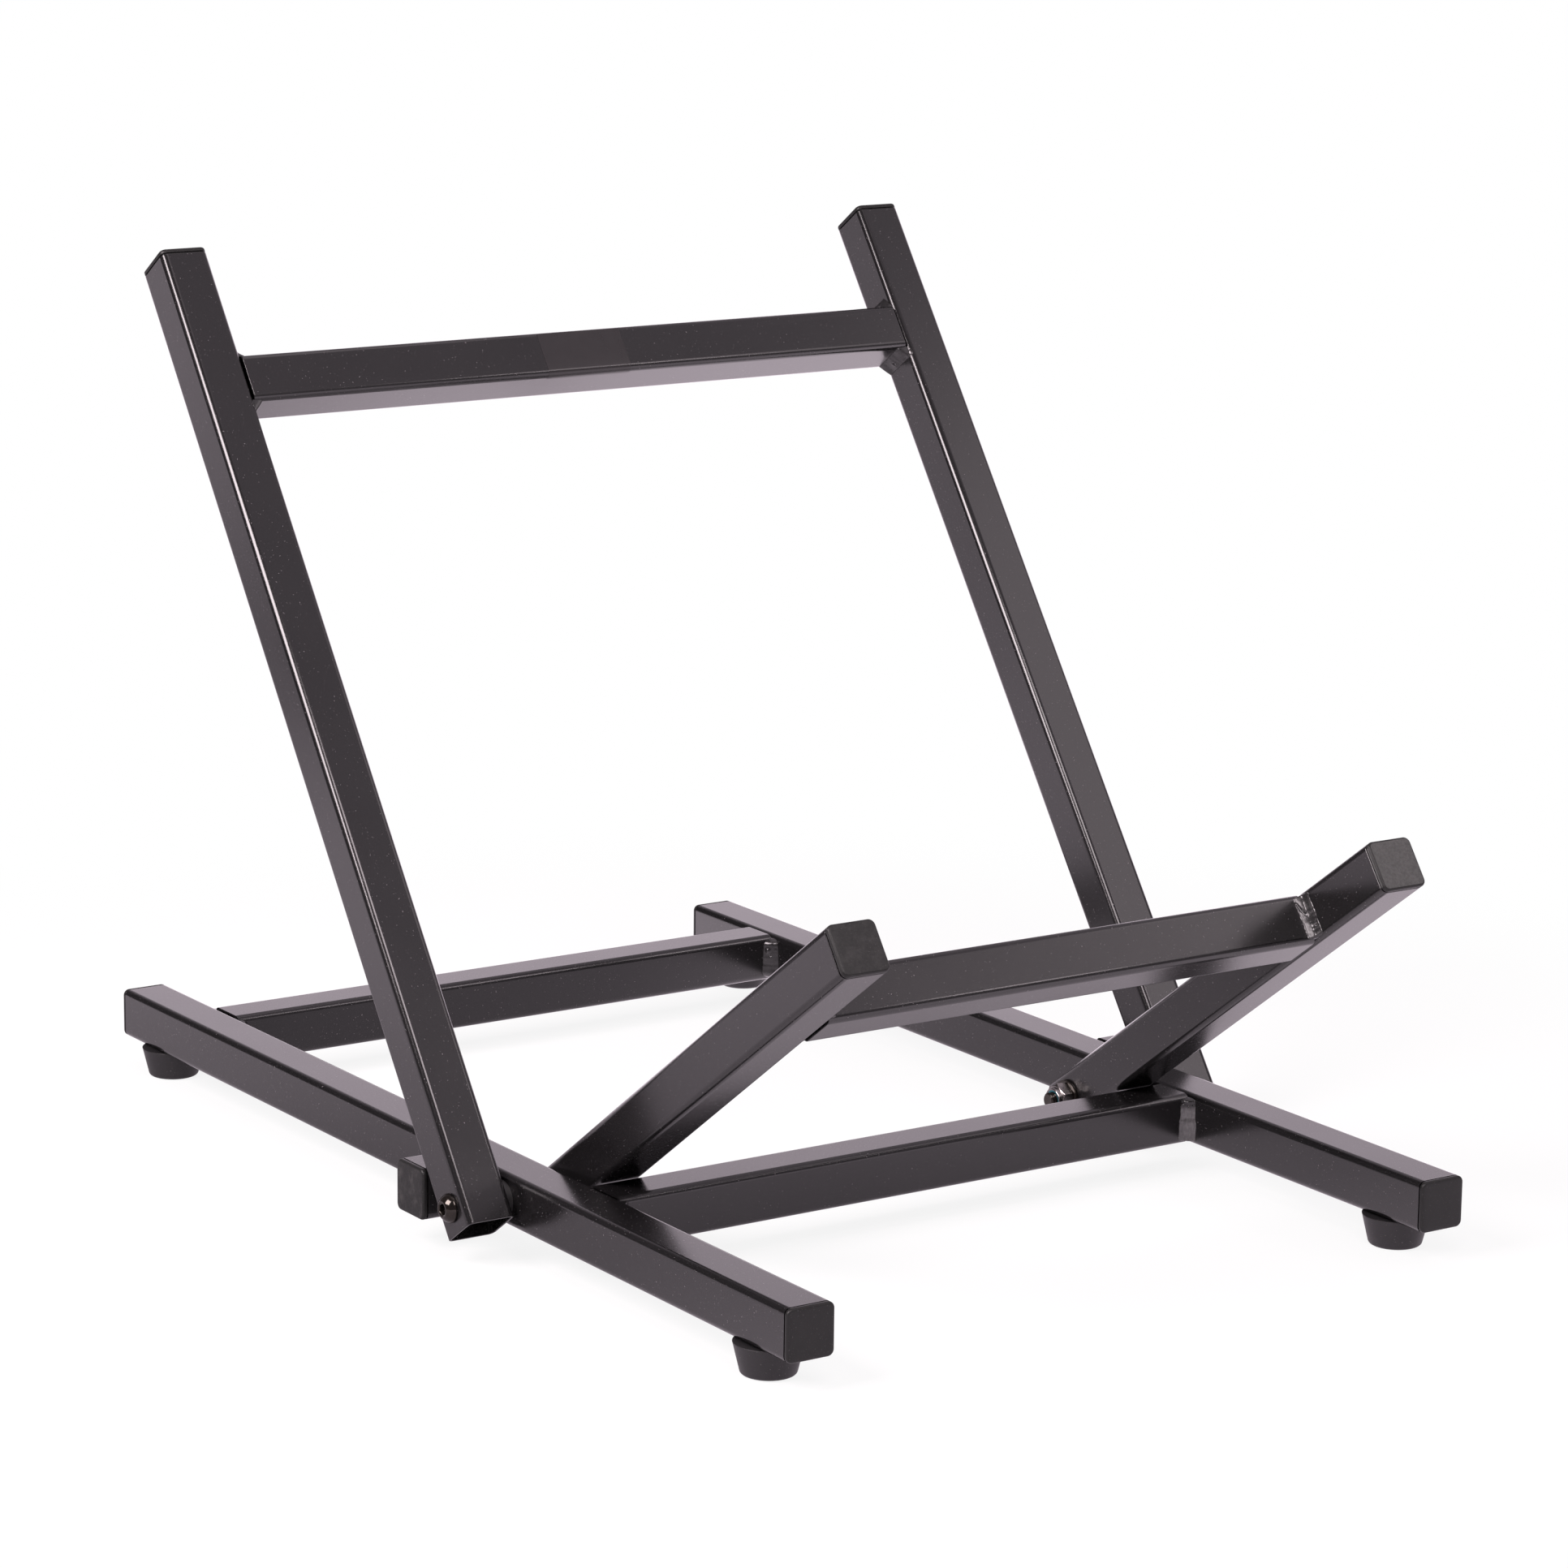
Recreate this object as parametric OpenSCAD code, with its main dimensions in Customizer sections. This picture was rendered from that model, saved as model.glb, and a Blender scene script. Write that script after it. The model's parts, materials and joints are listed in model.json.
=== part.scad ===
// Folding tilt-back amplifier stand of square steel tube.
// A welded base frame carries a back rest and a front support that fold about one pivot line.
// Millimetres. +X is right, +Y is to the rear, +Z is up. The origin lies on the floor,
// midway between the two rails and midway along them.

/* [Tube] */
// Outer side of the square tube
tube_w = 25; // [22:0.5:30]
// Wall thickness of the tube
tube_wall = 1.2; // [1:0.1:2]
// Outer corner radius of the tube
corner_r = 3.2; // [1.4:0.1:4]

/* [Base frame] */
// Width over the two rails
base_w = 382; // [320:1:480]
// Length of a rail tube without its plugs
rail_len = 623; // [600:1:760]
// Pivot line behind the front end of the rail tube
pivot_from_front = 235.5; // [200:0.5:250]
// Rear cross tube's rear face in front of the rear end of the rail tube
rear_cross_inset = 53; // [35:1:60]
// Length of a stop stub without its plug
stub_len = 26.4; // [22:0.1:32]

/* [Back rest] */
// Lean of the uprights, back from vertical
back_lean = 35.3; // [28:0.1:42]
// Length of an upright tube without its plug
upright_len = 511; // [470:1:600]
// Middle of the back crossbar below the upper end of the upright tubes
back_bar_drop = 70; // [55:0.5:90]

/* [Front support] */
// Rise of the arms above horizontal
arm_rise = 35.9; // [30:0.1:42]
// Length of an arm tube without its plug
arm_len = 293; // [260:1:300]
// Middle of the support crossbar behind the front end of the arm tubes
arm_bar_drop = 68; // [55:0.5:90]

/* [Pivot hardware] */
// Gap between an upright and its rail
outer_gap = 3.6; // [3:0.1:5]
// Gap between a rail and its arm
inner_gap = 3.2; // [3:0.1:5]
// Bolt diameter
bolt_d = 8; // [7:0.1:9]
// Diameter of the button head
head_d = 14; // [13:0.1:16]
// Height of the button head
head_h = 4.4; // [4:0.1:5.5]
// Height of the straight rim at the foot of the head
head_rim_h = 0.8; // [0.4:0.1:1.2]
// Diameter of the flat on top of the head
head_flat_d = 8; // [7.6:0.1:9]
// Width across flats of the hexagon socket
socket_af = 5; // [4:0.1:6]
// Depth of the hexagon socket
socket_depth = 2.8; // [2:0.1:3.2]
// Diameter of the washer under the lock nut
nut_washer_d = 18; // [17:0.1:20]
// Thickness of the washer under the lock nut
washer_t = 1.6; // [1:0.1:2]
// Diameter of the spacer washers between the tubes
spacer_d = 18; // [14:0.1:20]
// Width across flats of the lock nut
nut_af = 14; // [13:0.1:15]
// Height of the hexagon of the lock nut
nut_hex_h = 6; // [5:0.1:7]
// Height of the whole lock nut with its collar
nut_h = 8; // [7.8:0.1:9]
// Diameter of the lock nut's collar
collar_d = 12; // [11.5:0.1:12.5]
// Wall of the collar round the nylon ring
collar_wall = 0.8; // [0.6:0.1:1]
// Bolt thread that stands past the nut
bolt_past_nut = 2.8; // [1:0.1:6]

/* [End plugs] */
// Thickness of a plug's head
plug_head = 3; // [2.8:0.1:4]
// Rounding of the head's outer edge
plug_edge_r = 0.8; // [0.6:0.1:1.4]
// Depth of the insert inside the tube
plug_depth = 14; // [12:0.5:18]
// Wall of the hollow insert
plug_wall = 1.5; // [1:0.1:2]
// Depth of the fins that grip the tube
fin_depth = 1; // [0.6:0.1:1.2]
// Thickness of a fin
fin_t = 0.9; // [0.6:0.1:1.2]
// Spacing of the fins
fin_pitch = 3.2; // [2.5:0.1:3.5]

/* [Feet] */
// Height of a foot
foot_h = 15; // [12:0.5:20]
// Diameter of a foot at the rail
foot_top_d = 32.4; // [30:0.2:36]
// Diameter of a foot at the floor, before its edge is rounded
foot_bottom_d = 25.2; // [22:0.2:28]
// Rounding of the foot's lower edge
foot_edge_r = 2; // [1:0.5:3]
// Foot's axis from the end of the rail tube
foot_inset = 30; // [20:1:45]
// Diameter of the screw recess under a foot
recess_d = 11; // [10.8:0.2:12]
// Depth of the screw recess
recess_h = 6; // [5:0.5:7]
// Diameter of the boss in the dished top
boss_d = 12; // [10:0.5:16]
// Width of the rim round the dished top
rim_w = 1.7; // [1:0.1:2.5]
// Depth of the dished top
dish_h = 1.5; // [1:0.1:2]
// Screw diameter
screw_d = 4.8; // [4:0.1:5.5]
// Screw length under the head
screw_len = 16; // [15:0.5:22]
// Diameter of the screw head
screw_head_d = 9.2; // [8:0.1:10]
// Height of the screw head
screw_head_h = 2.8; // [2:0.1:3]
// Thickness of the washer in the foot
foot_washer_t = 1.2; // [1:0.1:1.5]

/* [Welds] */
// Leg of a weld bead on each of the two tubes that it joins
bead_leg = 5.5; // [3:0.1:6]
// Gap left between the end of a cross tube or stub and the tube that it is welded to
root_gap = 0.6; // [0.2:0.1:0.8]

/* [Fits] */
// Radial clearance of the pivot bolt in every hole
run_fit = 0.06; // [0.02:0.01:0.1]
// Side clearance between a tube that turns and the bolt head or washer beside it
face_gap = 0.15; // [0.1:0.05:0.3]
// Clearance left where a folding frame comes to its stop
stop_gap = 0.3; // [0.2:0.05:0.5]
// Clearance of a plug's fins in the tube, and of screws and washers in their places
seat_fit = 0.1; // [0.05:0.01:0.2]

/* [Hidden] */
$fn = 48;
half_w = tube_w / 2;
bore_w = tube_w - 2 * tube_wall;
bore_r = max(corner_r - tube_wall, 0.3);
flat_half = half_w - corner_r;                  // half the flat part of a tube's side
cut_over = 1;                                   // overshoot of cutting bodies
end_beyond_pivot = half_w;                      // tube below the pivot line on the folding frames

rail_z = foot_h + half_w;                       // middle of the rails, and height of the pivot line
rail_x = base_w / 2 - half_w;
upright_x = base_w / 2 + outer_gap + half_w;
arm_x = base_w / 2 - tube_w - inner_gap - half_w;
pivot_y = pivot_from_front - rail_len / 2;
foot_y = rail_len / 2 - foot_inset;

// The uprights rest on the rounded front top edge of the stubs
stub_dist = (half_w + stop_gap + corner_r + flat_half * sin(back_lean)) / cos(back_lean)
    - corner_r + half_w;
// The arms rest on the rounded rear top edge of the front cross tube
front_cross_dist = (half_w + stop_gap + corner_r + flat_half * cos(arm_rise)) / sin(arm_rise)
    - corner_r + half_w;
rear_cross_dist = rail_len - pivot_from_front - rear_cross_inset - half_w;
back_bar_dist = upright_len - end_beyond_pivot - back_bar_drop;
arm_bar_dist = arm_len - end_beyond_pivot - arm_bar_drop;
bead_half = flat_half + corner_r / 2;           // half the length of a bead
bead_crown = 2 * bead_leg;                      // centre of a bead's face, behind both tubes' faces

hole_d = bolt_d + 2 * run_fit;
head_x = base_w / 2 + outer_gap + tube_w + face_gap;                   // seat of the bolt head
nut_x = base_w / 2 - 2 * tube_w - inner_gap - face_gap - washer_t;     // seat of the lock nut
bolt_end_x = nut_x - nut_h - bolt_past_nut;

// ---- Frames of reference ------------------------------------------------------------------
// Each welded frame is drawn with +Z along its long tubes and the pivot line through its origin.

module in_base() translate([0, pivot_y, rail_z]) rotate([-90, 0, 0]) children();
module in_back_rest() translate([0, pivot_y, rail_z]) rotate([-back_lean, 0, 0]) children();
module in_front_support() translate([0, pivot_y, rail_z]) rotate([90 - arm_rise, 0, 0]) children();

// Puts a piece drawn for the right side on the right (1) or the left (-1)
module on_side(side) {
    if (side < 0) mirror([1, 0, 0]) children();
    else children();
}

module both_sides() for (side = [-1, 1]) on_side(side) children();

// ---- Square tube --------------------------------------------------------------------------

module rounded_square(w, r) {
    square([w, w - 2 * r], center = true);
    square([w - 2 * r, w], center = true);
    for (x = [-1, 1], y = [-1, 1])
        translate([x, y] * (w / 2 - r)) circle(r);
}

// Tube along +Z from the origin
module square_tube(len)
    difference() {
        linear_extrude(len) rounded_square(tube_w, corner_r);
        translate([0, 0, -cut_over]) linear_extrude(len + 2 * cut_over) rounded_square(bore_w, bore_r);
    }

// Tube from side to side between walls at -wall_x and wall_x, its middle at height z of the frame
module cross_tube(wall_x, z) {
    half_len = wall_x - root_gap;
    translate([-half_len, 0, z]) rotate([0, 90, 0]) square_tube(2 * half_len);
}

module pivot_hole(x)
    translate([x, 0, 0]) rotate([0, 90, 0]) cylinder(d = hole_d, h = tube_w + 2 * cut_over, center = true);

// Long tube at x with its pivot hole, from z0 of the frame
module pivoted_tube(x, z0, len)
    difference() {
        translate([x, 0, z0]) square_tube(len);
        pivot_hole(x);
    }

// ---- Weld beads ---------------------------------------------------------------------------

// Fillet with a slightly crowned face, along Y from y0 to y1, in the corner at x and z,
// growing towards dx and dz
module weld_bead(x, z, dx, dz, y0, y1)
    translate([x, y1, z]) rotate([90, 0, 0]) linear_extrude(y1 - y0)
        intersection() {
            translate([-dx, -dz] * bead_crown) circle(norm([bead_crown + bead_leg, bead_crown]));
            translate([min(dx, 0), min(dz, 0)] * bead_leg) square(bead_leg);
        }

// Beads on both sides of a cross tube at one of its ends. towards is the side that faces the
// pivot line where a folding tube passes close by: that bead fills only the lower half.
module end_beads(x, dx, z, towards = 0)
    for (dz = [-1, 1])
        weld_bead(x, z + dz * half_w, dx, dz, dz == towards ? 0 : -bead_half, bead_half);

// ---- End plugs ----------------------------------------------------------------------------

// Side view of the head, with its two outer corners rounded
module plug_head_profile() {
    translate([-half_w, 0]) square([tube_w, plug_head - plug_edge_r]);
    translate([plug_edge_r - half_w, 0]) square([tube_w - 2 * plug_edge_r, plug_head]);
    for (x = [-1, 1])
        translate([x * (half_w - plug_edge_r), plug_head - plug_edge_r]) circle(plug_edge_r);
}

module plug_head_solid()
    intersection() {
        linear_extrude(plug_head) rounded_square(tube_w, corner_r);
        for (turn = [0, 90])
            rotate([90, 0, turn]) linear_extrude(tube_w + 2 * cut_over, center = true) plug_head_profile();
    }

module plug_insert() {
    fin_w = bore_w - 2 * seat_fit;
    core_w = fin_w - 2 * fin_depth;
    difference() {
        union() {
            translate([0, 0, -plug_depth]) linear_extrude(plug_depth) rounded_square(core_w, bore_r);
            for (z = [fin_pitch : fin_pitch : plug_depth - fin_t])
                translate([0, 0, -z - fin_t]) linear_extrude(fin_t) rounded_square(fin_w, bore_r);
        }
        translate([0, 0, -plug_depth - cut_over]) linear_extrude(plug_depth + cut_over)
            square(core_w - 2 * plug_wall, center = true);
    }
}

// Plug whose head sits on the end of a tube that ends at the origin and comes from -Z
module end_plug() {
    plug_head_solid();
    plug_insert();
}

// ---- Base frame ---------------------------------------------------------------------------

module rail()
    difference() {
        in_base() pivoted_tube(rail_x, -pivot_from_front, rail_len);
        for (y = [-foot_y, foot_y])
            translate([rail_x, y, foot_h - cut_over])
                cylinder(d = screw_d + 2 * seat_fit, h = tube_wall + 2 * cut_over);
    }

module rail_plug(end)
    translate([rail_x, end * rail_len / 2, rail_z]) rotate([-90 * end, 0, 0]) end_plug();

module stop_stub()
    in_base() translate([base_w / 2 + root_gap, 0, stub_dist]) rotate([0, 90, 0]) square_tube(stub_len);

module stub_plug()
    in_base() translate([base_w / 2 + root_gap + stub_len, 0, stub_dist]) rotate([0, 90, 0]) end_plug();

module front_cross_beads()
    in_base() end_beads(rail_x - half_w, -1, -front_cross_dist, 1);

module rear_cross_beads()
    in_base() end_beads(rail_x - half_w, -1, rear_cross_dist);

module stub_beads()
    in_base() end_beads(base_w / 2, 1, stub_dist, -1);

// ---- Feet ---------------------------------------------------------------------------------

// Half section of the tapered foot: the lower edge is an arc that touches floor and flank
module foot_outline() {
    bottom = foot_bottom_d / 2;
    top = foot_top_d / 2;
    flare = top - bottom;
    flank = norm([flare, foot_h]);
    arc_x = bottom - foot_edge_r * (flank - flare) / foot_h;
    touch = [arc_x, foot_edge_r] + foot_edge_r * [foot_h, -flare] / flank;
    polygon([[0, 0], [arc_x, 0], [arc_x, foot_edge_r], touch, [top, foot_h], [0, foot_h]]);
    translate([arc_x, foot_edge_r]) circle(foot_edge_r);
}

module foot()
    rotate_extrude() difference() {
        foot_outline();
        square([recess_d / 2, recess_h]);
        square([screw_d / 2 + seat_fit, foot_h]);
        translate([boss_d / 2, foot_h - dish_h])
            square([foot_top_d / 2 - rim_w - boss_d / 2, dish_h]);
    }

module foot_washer()
    translate([0, 0, recess_h - foot_washer_t]) difference() {
        cylinder(d = recess_d - 2 * seat_fit, h = foot_washer_t);
        translate([0, 0, -cut_over])
            cylinder(d = screw_d + 2 * seat_fit, h = foot_washer_t + 2 * cut_over);
    }

// Pan-head screw, point up, with a cross recess in its head
module foot_screw() {
    seat_z = recess_h - foot_washer_t;
    tip_h = screw_d / 2;
    slot = [screw_head_d / 2, screw_d / 5];
    translate([0, 0, seat_z]) cylinder(d = screw_d, h = screw_len - tip_h);
    translate([0, 0, seat_z + screw_len - tip_h]) cylinder(d1 = screw_d, d2 = screw_d / 4, h = tip_h);
    difference() {
        translate([0, 0, seat_z - screw_head_h])
            cylinder(d1 = screw_head_d * 0.7, d2 = screw_head_d, h = screw_head_h);
        for (turn = [0, 90])
            translate([0, 0, seat_z - screw_head_h]) rotate(turn)
                cube([slot.x, slot.y, screw_head_h], center = true);
    }
}

module at_foot(side, end) translate([side * rail_x, end * foot_y, 0]) children();
module at_every_foot() for (side = [-1, 1], end = [-1, 1]) at_foot(side, end) children();

// ---- Pivot hardware -----------------------------------------------------------------------

// Places a round piece drawn along +Z on the right pivot line, starting at x and pointing outwards
module on_pivot(x) translate([x, pivot_y, rail_z]) rotate([0, 90, 0]) children();

module ring(d, h)
    difference() {
        cylinder(d = d, h = h);
        translate([0, 0, -cut_over]) cylinder(d = hole_d, h = h + 2 * cut_over);
    }

// Half section of the domed head: one arc from the rim to the flat
module head_outline() {
    rim = head_d / 2;
    flat = head_flat_d / 2;
    arc_z = (head_h ^ 2 - head_rim_h ^ 2 + flat ^ 2 - rim ^ 2) / (2 * (head_h - head_rim_h));
    intersection() {
        translate([0, arc_z]) circle(norm([rim, head_rim_h - arc_z]));
        square([rim, head_h]);
    }
}

module pivot_bolt() {
    on_pivot(bolt_end_x) cylinder(d = bolt_d, h = head_x - bolt_end_x);
    on_pivot(head_x) difference() {
        rotate_extrude() head_outline();
        translate([0, 0, head_h - socket_depth])
            cylinder(d = socket_af / cos(30), h = socket_depth + cut_over, $fn = 6);
    }
}

// Hexagon with its corners turned off, a collar, and the groove that holds the nylon ring
module lock_nut_solid() {
    corner = nut_af / 2 / cos(30);
    turned = corner - nut_af / 2;
    collar = collar_d / 2;
    difference() {
        union() {
            intersection() {
                cylinder(r = corner, h = nut_hex_h, $fn = 6);
                rotate_extrude() polygon([[0, 0], [corner - turned, 0], [corner, turned / 2],
                    [corner, nut_hex_h - turned / 2], [corner - turned, nut_hex_h], [0, nut_hex_h]]);
            }
            cylinder(r = collar, h = nut_h);
        }
        translate([0, 0, -cut_over]) cylinder(d = hole_d, h = nut_h + 2 * cut_over);
        translate([0, 0, nut_hex_h]) cylinder(r = collar - collar_wall, h = nut_h);
    }
}

module lock_nut() on_pivot(nut_x) mirror([0, 0, 1]) lock_nut_solid();

module nylon_ring()
    on_pivot(nut_x - nut_h) translate([0, 0, seat_fit])
        ring(collar_d - 2 * collar_wall - 2 * seat_fit, nut_h - nut_hex_h - seat_fit);

// ---- Back rest and front support ----------------------------------------------------------

module upright() in_back_rest() pivoted_tube(upright_x, -end_beyond_pivot, upright_len);
module arm() in_front_support() pivoted_tube(arm_x, -end_beyond_pivot, arm_len);
module upright_plug() in_back_rest() translate([upright_x, 0, upright_len - end_beyond_pivot]) end_plug();
module arm_plug() in_front_support() translate([arm_x, 0, arm_len - end_beyond_pivot]) end_plug();

// ---- Named pieces -------------------------------------------------------------------------

module left_rail() color("#4a464a") on_side(-1) rail();
module right_rail() color("#4a464a") on_side(1) rail();
module front_cross_tube() color("#4a464a") in_base() cross_tube(rail_x - half_w, -front_cross_dist);
module rear_cross_tube() color("#4a464a") in_base() cross_tube(rail_x - half_w, rear_cross_dist);
module left_stop_stub() color("#4a464a") on_side(-1) stop_stub();
module right_stop_stub() color("#4a464a") on_side(1) stop_stub();
module front_left_rail_plug() color("#262426") on_side(-1) rail_plug(-1);
module front_right_rail_plug() color("#262426") on_side(1) rail_plug(-1);
module rear_left_rail_plug() color("#262426") on_side(-1) rail_plug(1);
module rear_right_rail_plug() color("#262426") on_side(1) rail_plug(1);
module left_stub_plug() color("#262426") on_side(-1) stub_plug();
module right_stub_plug() color("#262426") on_side(1) stub_plug();
module front_left_foot() color("#1c1c1e") at_foot(-1, -1) foot();
module front_right_foot() color("#1c1c1e") at_foot(1, -1) foot();
module rear_left_foot() color("#1c1c1e") at_foot(-1, 1) foot();
module rear_right_foot() color("#1c1c1e") at_foot(1, 1) foot();
module foot_screws() color("#b8babd") at_every_foot() foot_screw();
module foot_washers() color("#b8babd") at_every_foot() foot_washer();
module front_cross_welds() color("#565256") both_sides() front_cross_beads();
module rear_cross_welds() color("#565256") both_sides() rear_cross_beads();
module stub_welds() color("#565256") both_sides() stub_beads();
module left_pivot_bolt() color("#141414") on_side(-1) pivot_bolt();
module right_pivot_bolt() color("#141414") on_side(1) pivot_bolt();
module outer_spacer_washers() color("#2e2c2e")
    both_sides() on_pivot(base_w / 2) ring(spacer_d, outer_gap - face_gap);
module inner_spacer_washers() color("#2e2c2e")
    both_sides() on_pivot(base_w / 2 - tube_w - inner_gap + face_gap) ring(spacer_d, inner_gap - face_gap);
module nut_washers() color("#2a2a2c") both_sides() on_pivot(nut_x) ring(nut_washer_d, washer_t);
module left_lock_nut() color("#3a3a3e") on_side(-1) lock_nut();
module right_lock_nut() color("#3a3a3e") on_side(1) lock_nut();
module nylon_rings() color("#1d5c66") both_sides() nylon_ring();
module left_upright() color("#4a464a") on_side(-1) upright();
module right_upright() color("#4a464a") on_side(1) upright();
module back_crossbar() color("#4a464a") in_back_rest() cross_tube(upright_x - half_w, back_bar_dist);
module left_upright_plug() color("#262426") on_side(-1) upright_plug();
module right_upright_plug() color("#262426") on_side(1) upright_plug();
module back_welds() color("#565256")
    both_sides() in_back_rest() end_beads(upright_x - half_w, -1, back_bar_dist);
module left_arm() color("#4a464a") on_side(-1) arm();
module right_arm() color("#4a464a") on_side(1) arm();
module support_crossbar() color("#4a464a") in_front_support() cross_tube(arm_x - half_w, arm_bar_dist);
module left_arm_plug() color("#262426") on_side(-1) arm_plug();
module right_arm_plug() color("#262426") on_side(1) arm_plug();
module support_welds() color("#565256")
    both_sides() in_front_support() end_beads(arm_x - half_w, -1, arm_bar_dist);

left_rail();
right_rail();
front_cross_tube();
rear_cross_tube();
left_stop_stub();
right_stop_stub();
front_left_rail_plug();
front_right_rail_plug();
rear_left_rail_plug();
rear_right_rail_plug();
left_stub_plug();
right_stub_plug();
front_left_foot();
front_right_foot();
rear_left_foot();
rear_right_foot();
foot_screws();
foot_washers();
front_cross_welds();
rear_cross_welds();
stub_welds();
left_pivot_bolt();
right_pivot_bolt();
outer_spacer_washers();
inner_spacer_washers();
nut_washers();
left_lock_nut();
right_lock_nut();
nylon_rings();
left_upright();
right_upright();
back_crossbar();
left_upright_plug();
right_upright_plug();
back_welds();
left_arm();
right_arm();
support_crossbar();
left_arm_plug();
right_arm_plug();
support_welds();
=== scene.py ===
"""Folding amplifier stand: coats, weld beads, pivot hardware, plugs, feet and a white studio.

The packed frame gives the tubes and every place; the pieces made here sit on it. Lengths are metres.
"""

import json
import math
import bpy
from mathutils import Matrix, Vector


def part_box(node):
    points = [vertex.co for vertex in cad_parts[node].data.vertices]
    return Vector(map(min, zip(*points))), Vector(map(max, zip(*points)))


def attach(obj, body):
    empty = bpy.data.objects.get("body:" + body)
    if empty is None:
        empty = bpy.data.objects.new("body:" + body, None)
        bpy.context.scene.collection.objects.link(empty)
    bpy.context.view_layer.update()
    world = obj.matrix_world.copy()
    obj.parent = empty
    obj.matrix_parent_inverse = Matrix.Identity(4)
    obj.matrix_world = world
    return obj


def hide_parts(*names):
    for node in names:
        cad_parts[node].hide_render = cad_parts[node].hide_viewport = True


bl_info = {
    "name": "Folding Amplifier Stand",
    "version": (1, 0, 0),
    "blender": (4, 5, 0),
    "location": "3D View > Sidebar > Amp Stand",
    "description": "Dresses a folding stand of coated square tube and sets a white studio round it",
    "category": "Object",
}

from typing import NamedTuple

import bmesh
import bpy
from mathutils import Matrix, Vector, noise

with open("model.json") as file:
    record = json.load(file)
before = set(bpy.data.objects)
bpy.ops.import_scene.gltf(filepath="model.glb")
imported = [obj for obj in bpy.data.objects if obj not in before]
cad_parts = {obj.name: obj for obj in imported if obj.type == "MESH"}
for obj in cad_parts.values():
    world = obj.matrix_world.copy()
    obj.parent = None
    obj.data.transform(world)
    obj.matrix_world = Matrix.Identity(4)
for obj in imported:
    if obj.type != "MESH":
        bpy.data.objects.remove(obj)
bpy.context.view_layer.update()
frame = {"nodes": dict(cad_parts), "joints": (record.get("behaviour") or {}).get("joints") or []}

MM = 0.001
# Gap that keeps a piece just inside the solid that it stands for
CLEAR = 0.02 * MM
X_AXIS = Vector((1, 0, 0))
Y_AXIS = Vector((0, 1, 0))
Z_AXIS = Vector((0, 0, 1))
SIDES = {"left": -1, "right": 1}


# ---- Places taken from the frame ----


def middle(node):
    """Middle of a node's box."""
    low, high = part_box(node)
    return (low + high) / 2


def span(node, axis):
    """Lowest and highest reach of a node along an axis."""
    reach = [vertex.co.dot(axis) for vertex in frame["nodes"][node].data.vertices]
    return min(reach), max(reach)


def from_middle(node):
    """Nearest and farthest reach of a node from the stand's middle plane."""
    low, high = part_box(node)
    return sorted((abs(low.x), abs(high.x)))


PIVOT = Vector(frame["joints"][0]["pos_m"])
RAIL_INNER, RAIL_OUTER = from_middle("left_rail")
# Half the side of the square tube
HALF = (RAIL_OUTER - RAIL_INNER) / 2
UP_REST = (middle("back_crossbar") - PIVOT).normalized()
UP_ARM = (middle("support_crossbar") - PIVOT).normalized()
# Long axis of each welded frame, and the axis across its tubes
LONG = {"base_frame": Y_AXIS, "back_rest": UP_REST, "front_support": UP_ARM}
ACROSS = {body: X_AXIS.cross(long) * -1 for body, long in LONG.items()}


def place(origin, up, side):
    """Matrix that puts a piece drawn round +Z at origin, with +Z along up and +X along side."""
    other = up.cross(side)
    turned = Matrix((side, other, up)).transposed().to_4x4()
    return Matrix.Translation(origin) @ turned


def ease(value):
    """Smooth step from 0 to 1."""
    held = min(max(value, 0), 1)
    return held * held * (3 - 2 * held)


# ---- Node recipes ----


def operator(operation, reflected=False):
    """Method of Value that adds a Math node."""

    def apply(self, other):
        sockets = {0: other, 1: self} if reflected else {0: self, 1: other}
        return self.recipe.node("ShaderNodeMath", {"operation": operation}, sockets)

    return apply


class Value:
    """A node's output; arithmetic on it adds Math nodes."""

    __add__, __radd__ = operator("ADD"), operator("ADD", True)
    __sub__, __rsub__ = operator("SUBTRACT"), operator("SUBTRACT", True)
    __mul__, __rmul__ = operator("MULTIPLY"), operator("MULTIPLY", True)
    larger, smaller = operator("MAXIMUM"), operator("MINIMUM")

    def __init__(self, recipe, socket):
        self.recipe = recipe
        self.socket = socket


# Sockets of the Mix node that carry its two colours and their mix
MIX_FIRST, MIX_SECOND, MIX_RESULT = 6, 7, 2


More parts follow.
